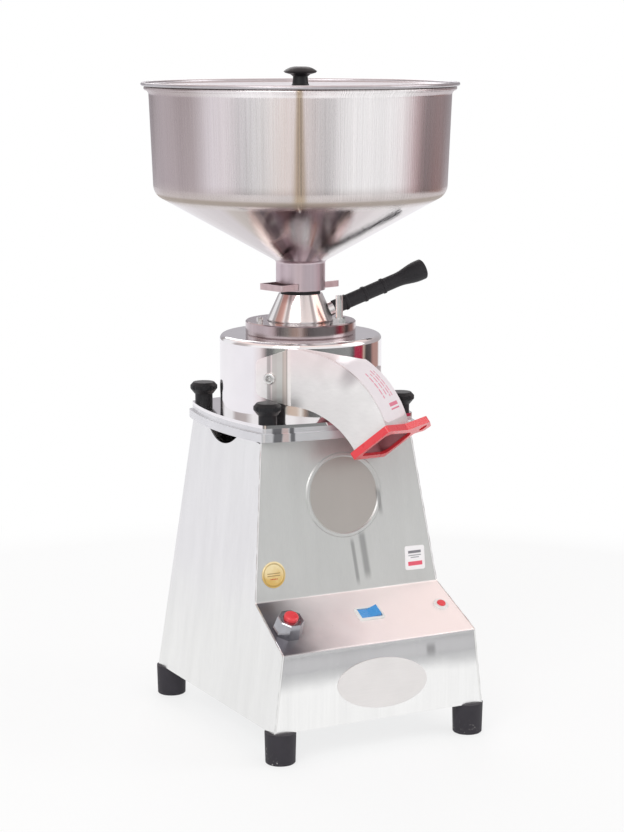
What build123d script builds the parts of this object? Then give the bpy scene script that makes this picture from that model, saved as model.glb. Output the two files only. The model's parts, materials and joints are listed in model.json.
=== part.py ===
from build123d import *
import os
from math import acos, asin, atan2, cos, degrees, hypot, radians, sin, tan

# A table-top flour mill: a folded sheet casing on rubber feet holds a vertical motor,
# two emery stones turn in a round chamber on top of it, and a hopper feeds them.
# Millimetres. +Z is up, the front faces -Y, and the spindle's axis is the Z axis.

# Sheet casing
sheet = 1.5
bend_radius = 3.0
foot_height = 30.0
casing_top = 290.0
bottom_half_width = 113.0
top_half_width = 82.0
front_y = -166.0
console_front_z = 105.0
console_rear_y = -100.0
console_rear_z = 139.0
front_top_y = -76.0
rear_bottom_y = 102.0
rear_top_y = 77.0
trim_over = 12.0
notch_half_width = 36.0
notch_depth = 14.5
corner_gap = 2.4
corner_gap_length = 34.0
notch_y = 6.5
badge_x = 3.0
badge_z = 232.0
badge_radius = 41.5
badge_band = 4.6
badge_rise = 1.1
vent_length = 46.0
vent_width = 4.5
vent_pitch = 12.0
vent_rows = 6
vent_column_pitch = 62.0
vent_centre_z = 190.0
gland_x = 55.0
gland_z = 62.0
gland_hole_radius = 8.0

# Base plate and feet
base_thickness = 2.0
foot_radius = 15.0
foot_taper = 0.8
foot_side_inset = 11.0
foot_front_inset = 9.0
foot_rear_inset = 8.0
foot_recess_radius = 7.0
foot_recess_depth = 14.0
foot_screw_radius = 2.5
foot_screw_head_radius = 5.0
foot_screw_head = 3.5
foot_nut_height = 4.0
foot_nut_flats = 8.0
base_vent_length = 34.0
base_vent_width = 6.0
base_vent_count = 8
base_vent_circle = 42.0

# Motor plate and the flange that is clamped on it
plate_thickness = 8.0
motor_plate_half = 84.0
chamber_flange_half = 81.5
plate_bow = 11.0
plate_corner = 6.0
stud_offset = 72.5
stud_radius = 4.0
stud_height_above_flange = 12.0
hole_clearance = 0.3
fit_clearance = 0.05
free_gap = 0.3

# Grinding chamber
chamber_radius = 80.0
chamber_wall = 2.5
chamber_top_thickness = 4.0
chamber_height = 82.0
chamber_edge = 5.0
ring_radius = 54.5
ring_thickness = 13.0
ring_edge = 1.0
ring_screw_circle = 45.0
ring_screw_angles = (60.0, 180.0)
ring_screw_radius = 2.5
ring_screw_head_radius = 3.2
ring_screw_head = 5.0
stop_angle = -60.0
stop_radius = 3.5
stop_height = 27.0
stop_slot = 1.6
stop_slot_depth = 4.0
stop_nut_flats = 12.0
stop_nut_height = 5.0
guide_pin_angles = (0.0, 120.0, 240.0)
guide_pin_radius = 3.0

# Adjusting cone and lever
hub_radius = 30.0
cone_base_radius = 33.0
cone_top_radius = 21.5
cone_height = 26.0
cone_wall = 3.0
cone_lift = 0.6
hub_bore_radius = 22.5
throat_radius = 14.5
spigot_radius = 16.2
hub_flange_radius = 32.7
hub_flange_thickness = 3.0
gasket_outer_radius = 19.5
gasket_thickness = 3.6
lever_direction = -5.0
lever_rise = 19.5
lever_root = 24.0
lever_root_z = 399.5
lever_rod_radius = 5.0
lever_boss_radius = 7.0
lever_boss_reach = 10.6
lever_rod_start = 5.0
grip_radius = 7.1
grip_ring_radius = 7.9
grip_ring_width = 4.0
grip_ring_first = 25.7
grip_ring_pitch = 21.5
grip_ring_count = 3
grip_flare_start = 84.0
grip_flare_end = 110.0
grip_end = 116.0
grip_end_radius = 10.4
grip_end_wall = 7.0
grip_end_round = 1.8

# Stones and what carries them
floor_gap = 2.0
sweeper_thickness = 4.0
sweeper_radius = 72.0
sweeper_hub_radius = 15.0
sweeper_hub_height = 11.0
blade_count = 3
blade_outer_radius = 76.0
blade_inner_radius = 70.8
blade_thickness = 3.0
blade_height = 14.0
stone_radius = 70.0
lower_stone_thickness = 22.0
lower_stone_bore = 15.3
upper_stone_thickness = 19.0
stone_gap = 0.8
stone_eye_radius = 24.0
furrow_count = 12
furrow_width = 4.0
furrow_depth = 1.5
furrow_margin = 8.0
carrier_radius = 71.0
carrier_thickness = 6.0
carrier_collar_radius = 37.0
carrier_collar_height = 8.0
snap_ring_thickness = 1.6
snap_ring_bite = 0.9
feed_screw_radius = 11.0
feed_screw_height = 24.0
paddle_reach = 20.0
paddle_thickness = 3.0
paddle_drop = 8.0

# Hopper, gate and lid
hopper_sheet = 1.2
neck_radius = 24.25
neck_height = 28.4
hopper_floor_radius = 143.4
hopper_floor_rise = 95.0
hopper_wall_height = 100.0
hopper_top_radius = 147.3
hopper_corner = 14.0
neck_corner = 4.0
neck_weld_rise = 1.5
rim_reach = 2.6
rim_bead = 2.1
gate_width = 33.0
gate_height = 6.0
gate_sheet = 1.5
gate_front = 39.5
gate_rear = 37.0
gate_direction = -165.0
lid_sheet = 1.0
lid_bead = 1.8
lid_reach = 1.0
lid_step_inset = 4.5
lid_step_depth = 1.5
knob_stem_radius = 7.7
knob_cap_radius = 16.3
knob_stem_height = 11.0
knob_height = 18.0
knob_screw_radius = 2.0
knob_screw_length = 12.0

# Outlet chute and its mouth collar
chute_heading = -50.0
chute_width = 58.6
chute_inset = 1.7
chute_sheet = 1.5
bend_outer_ahead = 25.0
bend_outer_z = 275.0
bend_outer_radius = 100.0
bend_inner_ahead = 20.0
bend_inner_z = 240.0
bend_inner_radius = 80.0
bend_outer_end = 16.0
bend_inner_end = 28.0
bend_start = 8.0
mouth_over = 12.0
mouth_roll = 9.0
notch_near_clearance = 1.0
notch_far_clearance = 10.0
ear_sheet = 1.5
near_ear_reach = 12.8
near_ear_low = 329.0
near_ear_high = 363.0
far_ear_end = -42.0
far_ear_low = 322.0
far_ear_high = 350.0
ear_corner = 7.0
chute_screw_radius = 2.4
chute_screw_head_radius = 5.8
chute_screw_head = 3.2
chute_screw_reach = 4.5
near_screw_angle = -138.4
near_screw_z = 346.0
far_screw_angle = -52.0
far_screw_z = 336.0
collar_grip = 4.0
collar_lip = 3.0
collar_band = 4.0
collar_ear_width = 18.0
collar_ear_rise = 12.0
collar_ear_length = 44.0
collar_ear_root = 8.0
collar_corner = 2.5
collar_panel_gap = 0.5
bag_hole_radius = 4.5

# Clamp knobs
clamp_stem_radius = 8.8
clamp_stem_height = 8.5
clamp_cap_radius = 13.6
clamp_cap_root_radius = 9.6
clamp_cap_top_radius = 10.6
clamp_cap_height = 11.5
clamp_flare_height = 5.0
clamp_rim_height = 3.2
clamp_lobes = 9
clamp_lobe_radius = 3.4
clamp_lobe_bite = 0.9

# Console fittings, placed along the console from its middle
breaker_x = -84.5
breaker_rise = -5.0
bezel_flats = 27.0
bezel_height = 16.0
bezel_taper = 1.8
bezel_edge = 1.5
breaker_neck_radius = 10.0
breaker_neck_height = 6.0
breaker_side = 25.0
breaker_depth = 27.0
button_radius = 7.0
button_proud = 4.0
button_stroke = 3.0
button_length = 16.0
switch_x = 7.0
switch_rise = 3.0
frame_length = 27.0
frame_width = 17.6
frame_height = 2.0
window_length = 22.6
window_width = 13.2
switch_wall = 1.1
switch_depth = 20.0
rocker_length = 20.0
rocker_width = 12.4
rocker_pivot_depth = 2.0
rocker_top = 5.6
rocker_middle = 2.6
rocker_bottom = 3.0
rocker_tilt = 12.0
trunnion_radius = 1.2
trunnion_reach = 0.8
lamp_x = 86.0
lamp_rise = 2.0
lamp_flange_radius = 7.4
lamp_flange_height = 2.2
lamp_tube_radius = 5.5
lamp_tube_length = 20.0
lens_radius = 4.3
lens_proud = 1.4
lens_seat = 2.0

# Motor
shaft_radius = 8.5
shaft_bottom = 104.0
shaft_shoulder_radius = 11.0
bearing_radius = 17.5
bearing_width = 11.0
bearing_wall = 4.0
bearing_ball_radius = 2.6
bearing_ball_count = 9
motor_radius = 64.0
bell_depth = 40.0
bell_plate = 13.0
bell_wall = 11.0
core_height = 80.0
core_bore = 33.5
rotor_gap = 0.5
core_slots = 24
core_slot_depth = 17.0
core_slot_width = 4.2
winding_inner = 37.0
winding_outer = 51.0
winding_height = 20.0
rotor_ring_height = 7.0
bolt_circle = 58.0
bolt_radius = 2.5
bolt_head_flats = 8.0
bolt_head_height = 4.0
bolt_grip_in_plate = 6.0
fan_radius = 48.0
fan_height = 16.0
fan_blades = 7
fan_blade_thickness = 1.6
fan_hub_radius = 14.0
fan_top_gap = 3.0
seal_radius = 20.0
seal_height = 7.0
capacitor_radius = 20.0
capacitor_height = 72.0
capacitor_side_inset = 51.0
capacitor_rear_inset = 46.0
clip_thickness = 1.2
clip_height = 14.0
gland_flange_radius = 11.0
gland_flange = 3.0
gland_nose_radius = 7.0
gland_nose = 16.0
gland_bore_radius = 4.2
gland_tail = 8.0
gland_nut_flats = 20.0
gland_nut_height = 5.0

# Places and levels that follow from the sizes above
foot_x = bottom_half_width - foot_side_inset
foot_front_y = front_y + foot_front_inset
foot_rear_y = rear_bottom_y - foot_rear_inset
capacitor_x = capacitor_side_inset - bottom_half_width
capacitor_y = rear_bottom_y - capacitor_rear_inset
chute_near = chamber_radius - chute_inset
bend_outer_centre = (bend_outer_ahead, bend_outer_z)
bend_inner_centre = (bend_inner_ahead, bend_inner_z)
near_screw = (near_screw_angle, near_screw_z)
far_screw = (far_screw_angle, far_screw_z)
motor_plate_top = casing_top + plate_thickness
flange_top = motor_plate_top + plate_thickness
chamber_top = motor_plate_top + chamber_height
ring_top = chamber_top + ring_thickness
cone_base = ring_top + cone_lift
cone_top = cone_base + cone_height
gasket_top = cone_top + gasket_thickness
sweeper_bottom = motor_plate_top + floor_gap
lower_stone_bottom = sweeper_bottom + sweeper_thickness
lower_stone_top = lower_stone_bottom + lower_stone_thickness
upper_stone_bottom = lower_stone_top + stone_gap
upper_stone_top = upper_stone_bottom + upper_stone_thickness
carrier_top = upper_stone_top + carrier_thickness
neck_floor = gasket_top + hopper_sheet
neck_top = gasket_top + neck_height
hopper_corner_z = gasket_top + hopper_floor_rise
hopper_top = hopper_corner_z + hopper_wall_height
rim_bead_z = hopper_top + rim_bead
lid_seat = rim_bead_z + rim_bead + free_gap
lid_panel = lid_seat + lid_sheet - lid_step_depth
gate_bottom = neck_floor + free_gap
core_top = casing_top - bell_depth
core_bottom = core_top - core_height
lower_bell_bottom = core_bottom - bell_depth

# Directions
chute_ahead = Vector(cos(radians(chute_heading)), sin(radians(chute_heading)), 0)
chute_across = Vector(-sin(radians(chute_heading)), cos(radians(chute_heading)), 0)
side_lean = atan2(bottom_half_width - top_half_width, casing_top - foot_height)
rear_lean = atan2(rear_bottom_y - rear_top_y, casing_top - foot_height)
console_lean = atan2(console_rear_z - console_front_z, console_rear_y - front_y)
upper_lean = atan2(front_top_y - console_rear_y, casing_top - console_rear_z)


def upper_front_y(z):
    """Where the upper front face stands at a height."""
    return console_rear_y + (z - console_rear_z) * tan(upper_lean)


def rear_y(z):
    """Where the rear face stands at a height."""
    return rear_bottom_y - (z - foot_height) * tan(rear_lean)


def side_plane(side, inset):
    """A plane parallel to one side panel's outer face, moved inwards, facing out."""
    facing = Vector(side * cos(side_lean), 0, sin(side_lean))
    return Plane(origin=Vector(side * bottom_half_width, 0, foot_height) - facing * inset, z_dir=facing)


trim_z = casing_top + trim_over
front_line = (
    (front_y, foot_height),
    (front_y, console_front_z),
    (console_rear_y, console_rear_z),
    (upper_front_y(trim_z), trim_z),
)
rear_line = ((rear_bottom_y, foot_height), (rear_y(trim_z), trim_z))

console_plane = Plane(
    origin=(0, (front_y + console_rear_y) / 2, (console_front_z + console_rear_z) / 2),
    x_dir=(1, 0, 0),
    z_dir=(0, -sin(console_lean), cos(console_lean)),
)
badge_plane = Plane(
    origin=(0, upper_front_y(badge_z), badge_z),
    x_dir=(1, 0, 0),
    z_dir=(0, -cos(upper_lean), sin(upper_lean)),
)
vent_plane = Plane(
    origin=(0, rear_y(vent_centre_z), vent_centre_z),
    x_dir=(-1, 0, 0),
    z_dir=(0, cos(rear_lean), sin(rear_lean)),
)
gland_plane = Plane(
    origin=(gland_x, rear_y(gland_z), gland_z),
    x_dir=(-1, 0, 0),
    z_dir=(0, cos(rear_lean), sin(rear_lean)),
)
# Seen along the chute's side: local x runs ahead, local y up, and +z to the near wall
chute_plane = Plane(origin=(0, 0, 0), x_dir=chute_ahead, z_dir=chute_across * -1)


def on_circle(centre, radius, angle):
    """A point of a circle in the chute's side view."""
    return (centre[0] + radius * cos(radians(angle)), centre[1] + radius * sin(radians(angle)))


mouth_inner = on_circle(bend_inner_centre, bend_inner_radius, bend_inner_end)
mouth_outer = on_circle(bend_outer_centre, bend_outer_radius, bend_outer_end)
mouth_length = hypot(mouth_outer[0] - mouth_inner[0], mouth_outer[1] - mouth_inner[1])
mouth_lean = atan2(mouth_outer[1] - mouth_inner[1], mouth_outer[0] - mouth_inner[0])
mouth_facing = chute_ahead * sin(mouth_lean) - Vector(0, 0, cos(mouth_lean))
mouth_plane = Plane(
    origin=chute_ahead * mouth_inner[0] + chute_across * -chute_near + Vector(0, 0, mouth_inner[1]),
    x_dir=chute_across * cos(radians(mouth_roll)) + mouth_facing * sin(radians(mouth_roll)),
    z_dir=mouth_facing * cos(radians(mouth_roll)) - chute_across * sin(radians(mouth_roll)),
)
lever_ahead = Vector(
    cos(radians(lever_direction)) * cos(radians(lever_rise)),
    sin(radians(lever_direction)) * cos(radians(lever_rise)),
    sin(radians(lever_rise)),
)
lever_plane = Plane(
    origin=(
        lever_root * cos(radians(lever_direction)),
        lever_root * sin(radians(lever_direction)),
        lever_root_z,
    ),
    z_dir=lever_ahead,
)
corners = [(x, y) for x in (-stud_offset, stud_offset) for y in (-stud_offset, stud_offset)]


def bowed_square(outline, half):
    """Fills the sketch with a square whose sides bow out past the round chamber."""
    points = [(-half, -half), (half, -half), (half, half), (-half, half)]
    with BuildLine() as edges:
        for start, end in zip(points, points[1:] + points[:1]):
            middle = Vector(start[0] + end[0], start[1] + end[1]) / 2
            ThreePointArc(start, middle + middle.normalized() * plate_bow, end)
    make_face(edges.edges())
    fillet(outline.vertices(), radius=plate_corner)


def chute_side(grow, beyond):
    """Fills the sketch with the chute's side view, grown all round and run on past its mouth."""
    outer_radius = bend_outer_radius + grow
    inner_radius = bend_inner_radius - grow
    outer_start = degrees(acos((bend_start - bend_outer_centre[0]) / outer_radius))
    inner_start = degrees(acos((bend_start - bend_inner_centre[0]) / inner_radius))
    with BuildLine() as edges:
        outer_arc = CenterArc(
            bend_outer_centre, outer_radius, bend_outer_end - beyond, outer_start - bend_outer_end + beyond
        )
        inner_arc = CenterArc(
            bend_inner_centre, inner_radius, bend_inner_end - beyond, inner_start - bend_inner_end + beyond
        )
        Line(outer_arc @ 0, inner_arc @ 0)
        Line(outer_arc @ 1, inner_arc @ 1)
    make_face(edges.edges())


def hexagon_nut(flats, height, bore, place):
    """Adds a hexagonal nut standing on a place."""
    with BuildSketch(place) as outline:
        RegularPolygon(radius=flats / 2, side_count=6, major_radius=False)
        Circle(bore, mode=Mode.SUBTRACT)
    extrude(outline.sketch, amount=height)


# Casing: the front is one sheet with three folds, the rest are flat sheets
with BuildPart() as front_panel:
    with BuildSketch(Plane.YZ):
        with BuildLine():
            FilletPolyline(*front_line, radius=bend_radius)
            offset(amount=sheet, side=Side.RIGHT)
        make_face()
    extrude(amount=bottom_half_width, both=True)
    for side in (-1, 1):
        split(bisect_by=side_plane(side, sheet), keep=Keep.BOTTOM)
    split(bisect_by=Plane.XY.offset(casing_top), keep=Keep.BOTTOM)
    with BuildSketch(console_plane):
        with Locations((breaker_x, breaker_rise)):
            Circle(breaker_neck_radius + hole_clearance)
        with Locations((switch_x, switch_rise)):
            Rectangle(
                window_length + 2 * (switch_wall + hole_clearance),
                window_width + 2 * (switch_wall + hole_clearance),
            )
        with Locations((lamp_x, lamp_rise)):
            Circle(lamp_tube_radius + hole_clearance)
    extrude(amount=-2 * sheet, mode=Mode.SUBTRACT)
    with BuildSketch(badge_plane):
        with Locations((badge_x, 0)):
            Circle(badge_radius)
            Circle(badge_radius - badge_band, mode=Mode.SUBTRACT)
    extrude(amount=badge_rise, taper=45)


def side_sheet(side):
    """One flat side panel with the half-round hand hole under the motor plate."""
    with BuildPart() as panel:
        with BuildSketch(Plane.YZ):
            with BuildLine():
                front = FilletPolyline(*front_line, radius=bend_radius)
                Polyline(front @ 1, rear_line[1], rear_line[0], front @ 0)
            make_face()
        extrude(amount=side * bottom_half_width)
        split(bisect_by=side_plane(side, 0), keep=Keep.BOTTOM)
        split(bisect_by=side_plane(side, sheet), keep=Keep.TOP)
        split(bisect_by=Plane.XY.offset(casing_top), keep=Keep.BOTTOM)
        notch_radius = (notch_half_width**2 + notch_depth**2) / (2 * notch_depth)
        with BuildSketch(Plane.YZ):
            with Locations((notch_y, casing_top - notch_depth + notch_radius)):
                Circle(notch_radius)
        extrude(amount=side * bottom_half_width, mode=Mode.SUBTRACT)
        if side < 0:
            # The left sheet stands a little low at its front corner
            with BuildSketch(Plane.YZ):
                with BuildLine():
                    corner_y = upper_front_y(casing_top)
                    Polyline(
                        (corner_y, casing_top),
                        (corner_y, casing_top - corner_gap),
                        (corner_y + corner_gap_length, casing_top),
                        close=True,
                    )
                make_face()
            extrude(amount=side * bottom_half_width, mode=Mode.SUBTRACT)
    return panel


left_side_panel = side_sheet(-1)
right_side_panel = side_sheet(1)

with BuildPart() as rear_panel:
    with BuildSketch(Plane.YZ):
        with BuildLine():
            Line(*rear_line)
            offset(amount=sheet, side=Side.LEFT)
        make_face()
    extrude(amount=bottom_half_width, both=True)
    for side in (-1, 1):
        split(bisect_by=side_plane(side, sheet), keep=Keep.BOTTOM)
    split(bisect_by=Plane.XY.offset(casing_top), keep=Keep.BOTTOM)
    split(bisect_by=Plane.XY.offset(foot_height), keep=Keep.TOP)
    with BuildSketch(vent_plane):
        with GridLocations(vent_column_pitch, vent_pitch, 2, vent_rows):
            SlotOverall(vent_length, vent_width)
    extrude(amount=-2 * sheet, mode=Mode.SUBTRACT)
    with BuildSketch(gland_plane):
        Circle(gland_hole_radius + hole_clearance)
    extrude(amount=-2 * sheet, mode=Mode.SUBTRACT)

feet = [(x, y) for x in (-foot_x, foot_x) for y in (foot_front_y, foot_rear_y)]

with BuildPart() as base_plate:
    with BuildSketch(Plane.XY.offset(foot_height)):
        with Locations((0, front_y + sheet)):
            Rectangle(
                2 * bottom_half_width,
                rear_bottom_y - front_y - sheet,
                align=(Align.CENTER, Align.MIN),
            )
        with Locations(*feet):
            Circle(foot_screw_radius + hole_clearance, mode=Mode.SUBTRACT)
        with PolarLocations(base_vent_circle, base_vent_count):
            SlotOverall(base_vent_length, base_vent_width, mode=Mode.SUBTRACT)
    extrude(amount=base_thickness)
    for side in (-1, 1):
        split(bisect_by=side_plane(side, sheet), keep=Keep.BOTTOM)
    rear_inside = vent_plane.offset(-sheet)
    split(bisect_by=rear_inside, keep=Keep.BOTTOM)

with BuildPart() as rubber_feet:
    with Locations(*[(x, y, 0) for x, y in feet]):
        Cone(
            foot_radius - foot_taper,
            foot_radius,
            foot_height,
            align=(Align.CENTER, Align.CENTER, Align.MIN),
        )
        Cylinder(
            foot_recess_radius,
            foot_recess_depth,
            align=(Align.CENTER, Align.CENTER, Align.MIN),
            mode=Mode.SUBTRACT,
        )
        Cylinder(
            foot_screw_radius + fit_clearance,
            foot_height,
            align=(Align.CENTER, Align.CENTER, Align.MIN),
            mode=Mode.SUBTRACT,
        )
    chamfer(rubber_feet.edges().filter_by(GeomType.CIRCLE).group_by(Axis.Z)[0].filter_by(
        lambda edge: edge.radius > foot_recess_radius + 1), length=1.0)

with BuildPart() as foot_screws:
    for x, y in feet:
        with BuildSketch(Plane.XY.offset(foot_recess_depth - foot_screw_head)):
            with Locations((x, y)):
                Circle(foot_screw_head_radius)
        extrude(amount=foot_screw_head)
        with BuildSketch(Plane.XY.offset(foot_recess_depth)):
            with Locations((x, y)):
                Circle(foot_screw_radius)
        extrude(amount=foot_height - foot_recess_depth + base_thickness)
        with BuildSketch(Plane.XY.offset(foot_height + base_thickness)):
            with Locations((x, y)):
                RegularPolygon(radius=foot_nut_flats / 2, side_count=6, major_radius=False)
        extrude(amount=foot_nut_height)

# The motor hangs under this plate, and its top is the floor of the grinding chamber
bolts = [
    (bolt_circle * cos(radians(angle)), bolt_circle * sin(radians(angle)))
    for angle in (0, 90, 180, 270)
]

with BuildPart() as motor_plate:
    with BuildSketch(Plane.XY.offset(casing_top)) as plate_outline:
        bowed_square(plate_outline, motor_plate_half)
        Circle(seal_radius, mode=Mode.SUBTRACT)
        with Locations(*corners):
            Circle(stud_radius + fit_clearance, mode=Mode.SUBTRACT)
    extrude(amount=plate_thickness)
    with BuildSketch(Plane.XY.offset(casing_top)):
        with Locations(*bolts):
            Circle(bolt_radius + fit_clearance)
    extrude(amount=bolt_grip_in_plate, mode=Mode.SUBTRACT)
    with BuildSketch(chute_plane.offset(chute_near - chute_width - notch_far_clearance)):
        chute_side(notch_near_clearance, mouth_over)
    extrude(amount=chute_width + notch_far_clearance + notch_near_clearance, mode=Mode.SUBTRACT)

with BuildPart() as clamp_studs:
    with Locations(*[(x, y, casing_top) for x, y in corners]):
        Cylinder(
            stud_radius,
            2 * plate_thickness + stud_height_above_flange,
            align=(Align.CENTER, Align.CENTER, Align.MIN),
        )
    chamfer(clamp_studs.edges().filter_by(GeomType.CIRCLE).group_by(Axis.Z)[-1], length=0.8)

# Grinding chamber: flange, drum and top in one welded piece, open to the chute
with BuildPart() as grinding_chamber:
    with BuildSketch(Plane.XY.offset(motor_plate_top)) as flange_outline:
        bowed_square(flange_outline, chamber_flange_half)
        with Locations(*corners):
            Circle(stud_radius + hole_clearance, mode=Mode.SUBTRACT)
    extrude(amount=plate_thickness)
    with BuildSketch(chute_plane.offset(chute_near - chute_width - notch_far_clearance)):
        chute_side(notch_near_clearance, mouth_over)
    extrude(amount=chute_width + notch_far_clearance + notch_near_clearance, mode=Mode.SUBTRACT)
    with BuildSketch(Plane.XY.offset(motor_plate_top)):
        Circle(chamber_radius)
    extrude(amount=chamber_height)
    fillet(grinding_chamber.edges().group_by(Axis.Z)[-1], radius=chamber_edge)
    with BuildSketch(Plane.XY.offset(motor_plate_top)):
        Circle(chamber_radius - chamber_wall)
    extrude(amount=chamber_height - chamber_top_thickness, mode=Mode.SUBTRACT)
    with BuildSketch(Plane.XY.offset(chamber_top)):
        Circle(hub_radius + free_gap + 1)
        with Locations(
            *[
                (ring_screw_circle * cos(radians(a)), ring_screw_circle * sin(radians(a)))
                for a in ring_screw_angles + (stop_angle,)
            ]
        ):
            Circle(ring_screw_radius + fit_clearance)
        with Locations(
            *[
                (ring_screw_circle * cos(radians(a)), ring_screw_circle * sin(radians(a)))
                for a in guide_pin_angles
            ]
        ):
            Circle(guide_pin_radius + fit_clearance)
    extrude(amount=-2 * chamber_top_thickness, mode=Mode.SUBTRACT)
    with BuildSketch(chute_plane.offset(chute_near - chute_width + chute_sheet)):
        chute_side(-chute_sheet, 0)
    extrude(amount=chute_width - 2 * chute_sheet, mode=Mode.SUBTRACT)
    for angle, height in (near_screw, far_screw):
        hole_plane = Plane(
            origin=(0, 0, height), z_dir=(cos(radians(angle)), sin(radians(angle)), 0)
        )
        with BuildSketch(hole_plane):
            Circle(chute_screw_radius + fit_clearance)
        extrude(amount=chamber_radius + 1, mode=Mode.SUBTRACT)


def around(angles, radius=ring_screw_circle):
    """Points on a circle about the spindle."""
    return [(radius * cos(radians(a)), radius * sin(radians(a))) for a in angles]


with BuildPart() as threaded_ring:
    with BuildSketch(Plane.XY.offset(chamber_top)):
        Circle(ring_radius)
        Circle(hub_radius + fit_clearance, mode=Mode.SUBTRACT)
        with Locations(*around(ring_screw_angles)):
            Circle(ring_screw_radius + fit_clearance, mode=Mode.SUBTRACT)
        with Locations(*around((stop_angle,))):
            Circle(stop_radius + fit_clearance, mode=Mode.SUBTRACT)
    extrude(amount=ring_thickness)
    chamfer(threaded_ring.edges().filter_by(GeomType.CIRCLE).filter_by(
        lambda edge: edge.radius > ring_radius - 1), length=ring_edge)

with BuildPart() as ring_screws:
    for x, y in around(ring_screw_angles):
        with BuildSketch(Plane.XY.offset(chamber_top - chamber_top_thickness)):
            with Locations((x, y)):
                Circle(ring_screw_radius)
        extrude(amount=chamber_top_thickness + ring_thickness)
        with BuildSketch(Plane.XY.offset(ring_top)):
            with Locations((x, y)):
                Circle(ring_screw_head_radius)
        extrude(amount=ring_screw_head)
    chamfer(ring_screws.edges().group_by(Axis.Z)[-1], length=0.8)
    stop_place = around((stop_angle,))[0]
    stop_foot = Plane(origin=(*stop_place, ring_top))
    hexagon_nut(stop_nut_flats, stop_nut_height, stop_radius + fit_clearance, stop_foot)

with BuildPart() as stop_stud:
    with BuildSketch(Plane.XY.offset(chamber_top)):
        with Locations(stop_place):
            Circle(stop_radius)
    extrude(amount=ring_thickness + stop_height)
    with BuildSketch(Plane.XY.offset(ring_top + stop_height)):
        with Locations(stop_place):
            Rectangle(stop_slot, 3 * stop_radius)
    extrude(amount=-stop_slot_depth, mode=Mode.SUBTRACT)

with BuildPart() as guide_pins:
    with Locations(*[(x, y, chamber_top) for x, y in around(guide_pin_angles)]):
        Cylinder(
            guide_pin_radius,
            chamber_top - carrier_top + carrier_thickness - 1,
            align=(Align.CENTER, Align.CENTER, Align.MAX),
        )

# Adjusting cone: its hub screws down in the threaded ring and its lever turns it
with BuildPart() as feed_cone:
    with BuildSketch(Plane.XZ):
        with BuildLine():
            Polyline(
                (0, carrier_top),
                (hub_flange_radius, carrier_top),
                (hub_flange_radius, carrier_top + hub_flange_thickness),
                (hub_radius, carrier_top + hub_flange_thickness),
                (hub_radius, cone_base),
                (cone_base_radius, cone_base),
                (cone_base_radius, cone_base + 1),
                (cone_top_radius, cone_top),
                (spigot_radius, cone_top),
                (spigot_radius, neck_floor),
                (0, neck_floor),
                close=True,
            )
        make_face()
    revolve(axis=Axis.Z)
    with BuildSketch(lever_plane):
        Circle(lever_boss_radius)
    extrude(amount=lever_boss_reach)
    with BuildSketch(lever_plane.offset(lever_rod_start)):
        Circle(lever_rod_radius + fit_clearance)
    extrude(amount=lever_boss_reach, mode=Mode.SUBTRACT)
    with BuildSketch(Plane.XZ):
        with BuildLine():
            Polyline(
                (0, carrier_top),
                (hub_bore_radius, carrier_top),
                (hub_bore_radius, cone_base),
                (throat_radius, cone_top - cone_wall),
                (throat_radius, neck_floor),
                (0, neck_floor),
                close=True,
            )
        make_face()
    revolve(axis=Axis.Z, mode=Mode.SUBTRACT)

with BuildPart() as lever_rod:
    with BuildSketch(lever_plane.offset(lever_rod_start + fit_clearance)):
        Circle(lever_rod_radius)
    extrude(amount=grip_end - grip_end_wall - lever_rod_start - 2 * fit_clearance)

grip_start = lever_boss_reach + free_gap
with BuildPart() as lever_grip:
    grip_plane = Plane(origin=lever_plane.origin, x_dir=lever_plane.x_dir, z_dir=lever_plane.y_dir * -1)
    with BuildSketch(grip_plane):
        with BuildLine():
            outline = [(0, grip_start), (grip_radius, grip_start)]
            for ring in range(grip_ring_count):
                place = grip_ring_first + ring * grip_ring_pitch
                outline += [
                    (grip_radius, place - grip_ring_width / 2),
                    (grip_ring_radius, place - grip_ring_width / 4),
                    (grip_ring_radius, place + grip_ring_width / 4),
                    (grip_radius, place + grip_ring_width / 2),
                ]
            outline.append((grip_radius, grip_flare_start))
            shank = Polyline(*outline)
            flare = Spline(
                shank @ 1,
                (grip_end_radius, grip_flare_end),
                tangents=[(0, 1), (0, 1)],
            )
            Polyline(flare @ 1, (grip_end_radius, grip_end), (0, grip_end), shank @ 0)
        make_face()
    revolve(axis=Axis(lever_plane.origin, lever_ahead))
    fillet(lever_grip.edges().sort_by(Axis(lever_plane.origin, lever_ahead))[-1], radius=grip_end_round)
    with BuildSketch(lever_plane):
        Circle(lever_rod_radius + fit_clearance)
    extrude(amount=grip_end - grip_end_wall, mode=Mode.SUBTRACT)

with BuildPart() as cone_gasket:
    with BuildSketch(Plane.XY.offset(cone_top)):
        Circle(gasket_outer_radius)
        Circle(spigot_radius + free_gap, mode=Mode.SUBTRACT)
    extrude(amount=gasket_thickness)

# Stones: the lower one turns with the spindle, the upper one is held by its carrier
with BuildPart() as sweeper_plate:
    with BuildSketch(Plane.XY.offset(sweeper_bottom)):
        Circle(sweeper_radius)
    extrude(amount=sweeper_thickness)
    with BuildSketch(Plane.XY.offset(lower_stone_bottom)):
        Circle(sweeper_hub_radius)
    extrude(amount=sweeper_hub_height)
    with BuildSketch(Plane.XY.offset(sweeper_bottom)):
        with PolarLocations((blade_inner_radius + blade_outer_radius) / 2, blade_count):
            Rectangle(blade_outer_radius - blade_inner_radius, blade_thickness)
    extrude(amount=blade_height)
    with BuildSketch(Plane.XY.offset(sweeper_bottom)):
        Circle(shaft_radius)
    extrude(amount=sweeper_thickness + sweeper_hub_height, mode=Mode.SUBTRACT)


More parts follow.
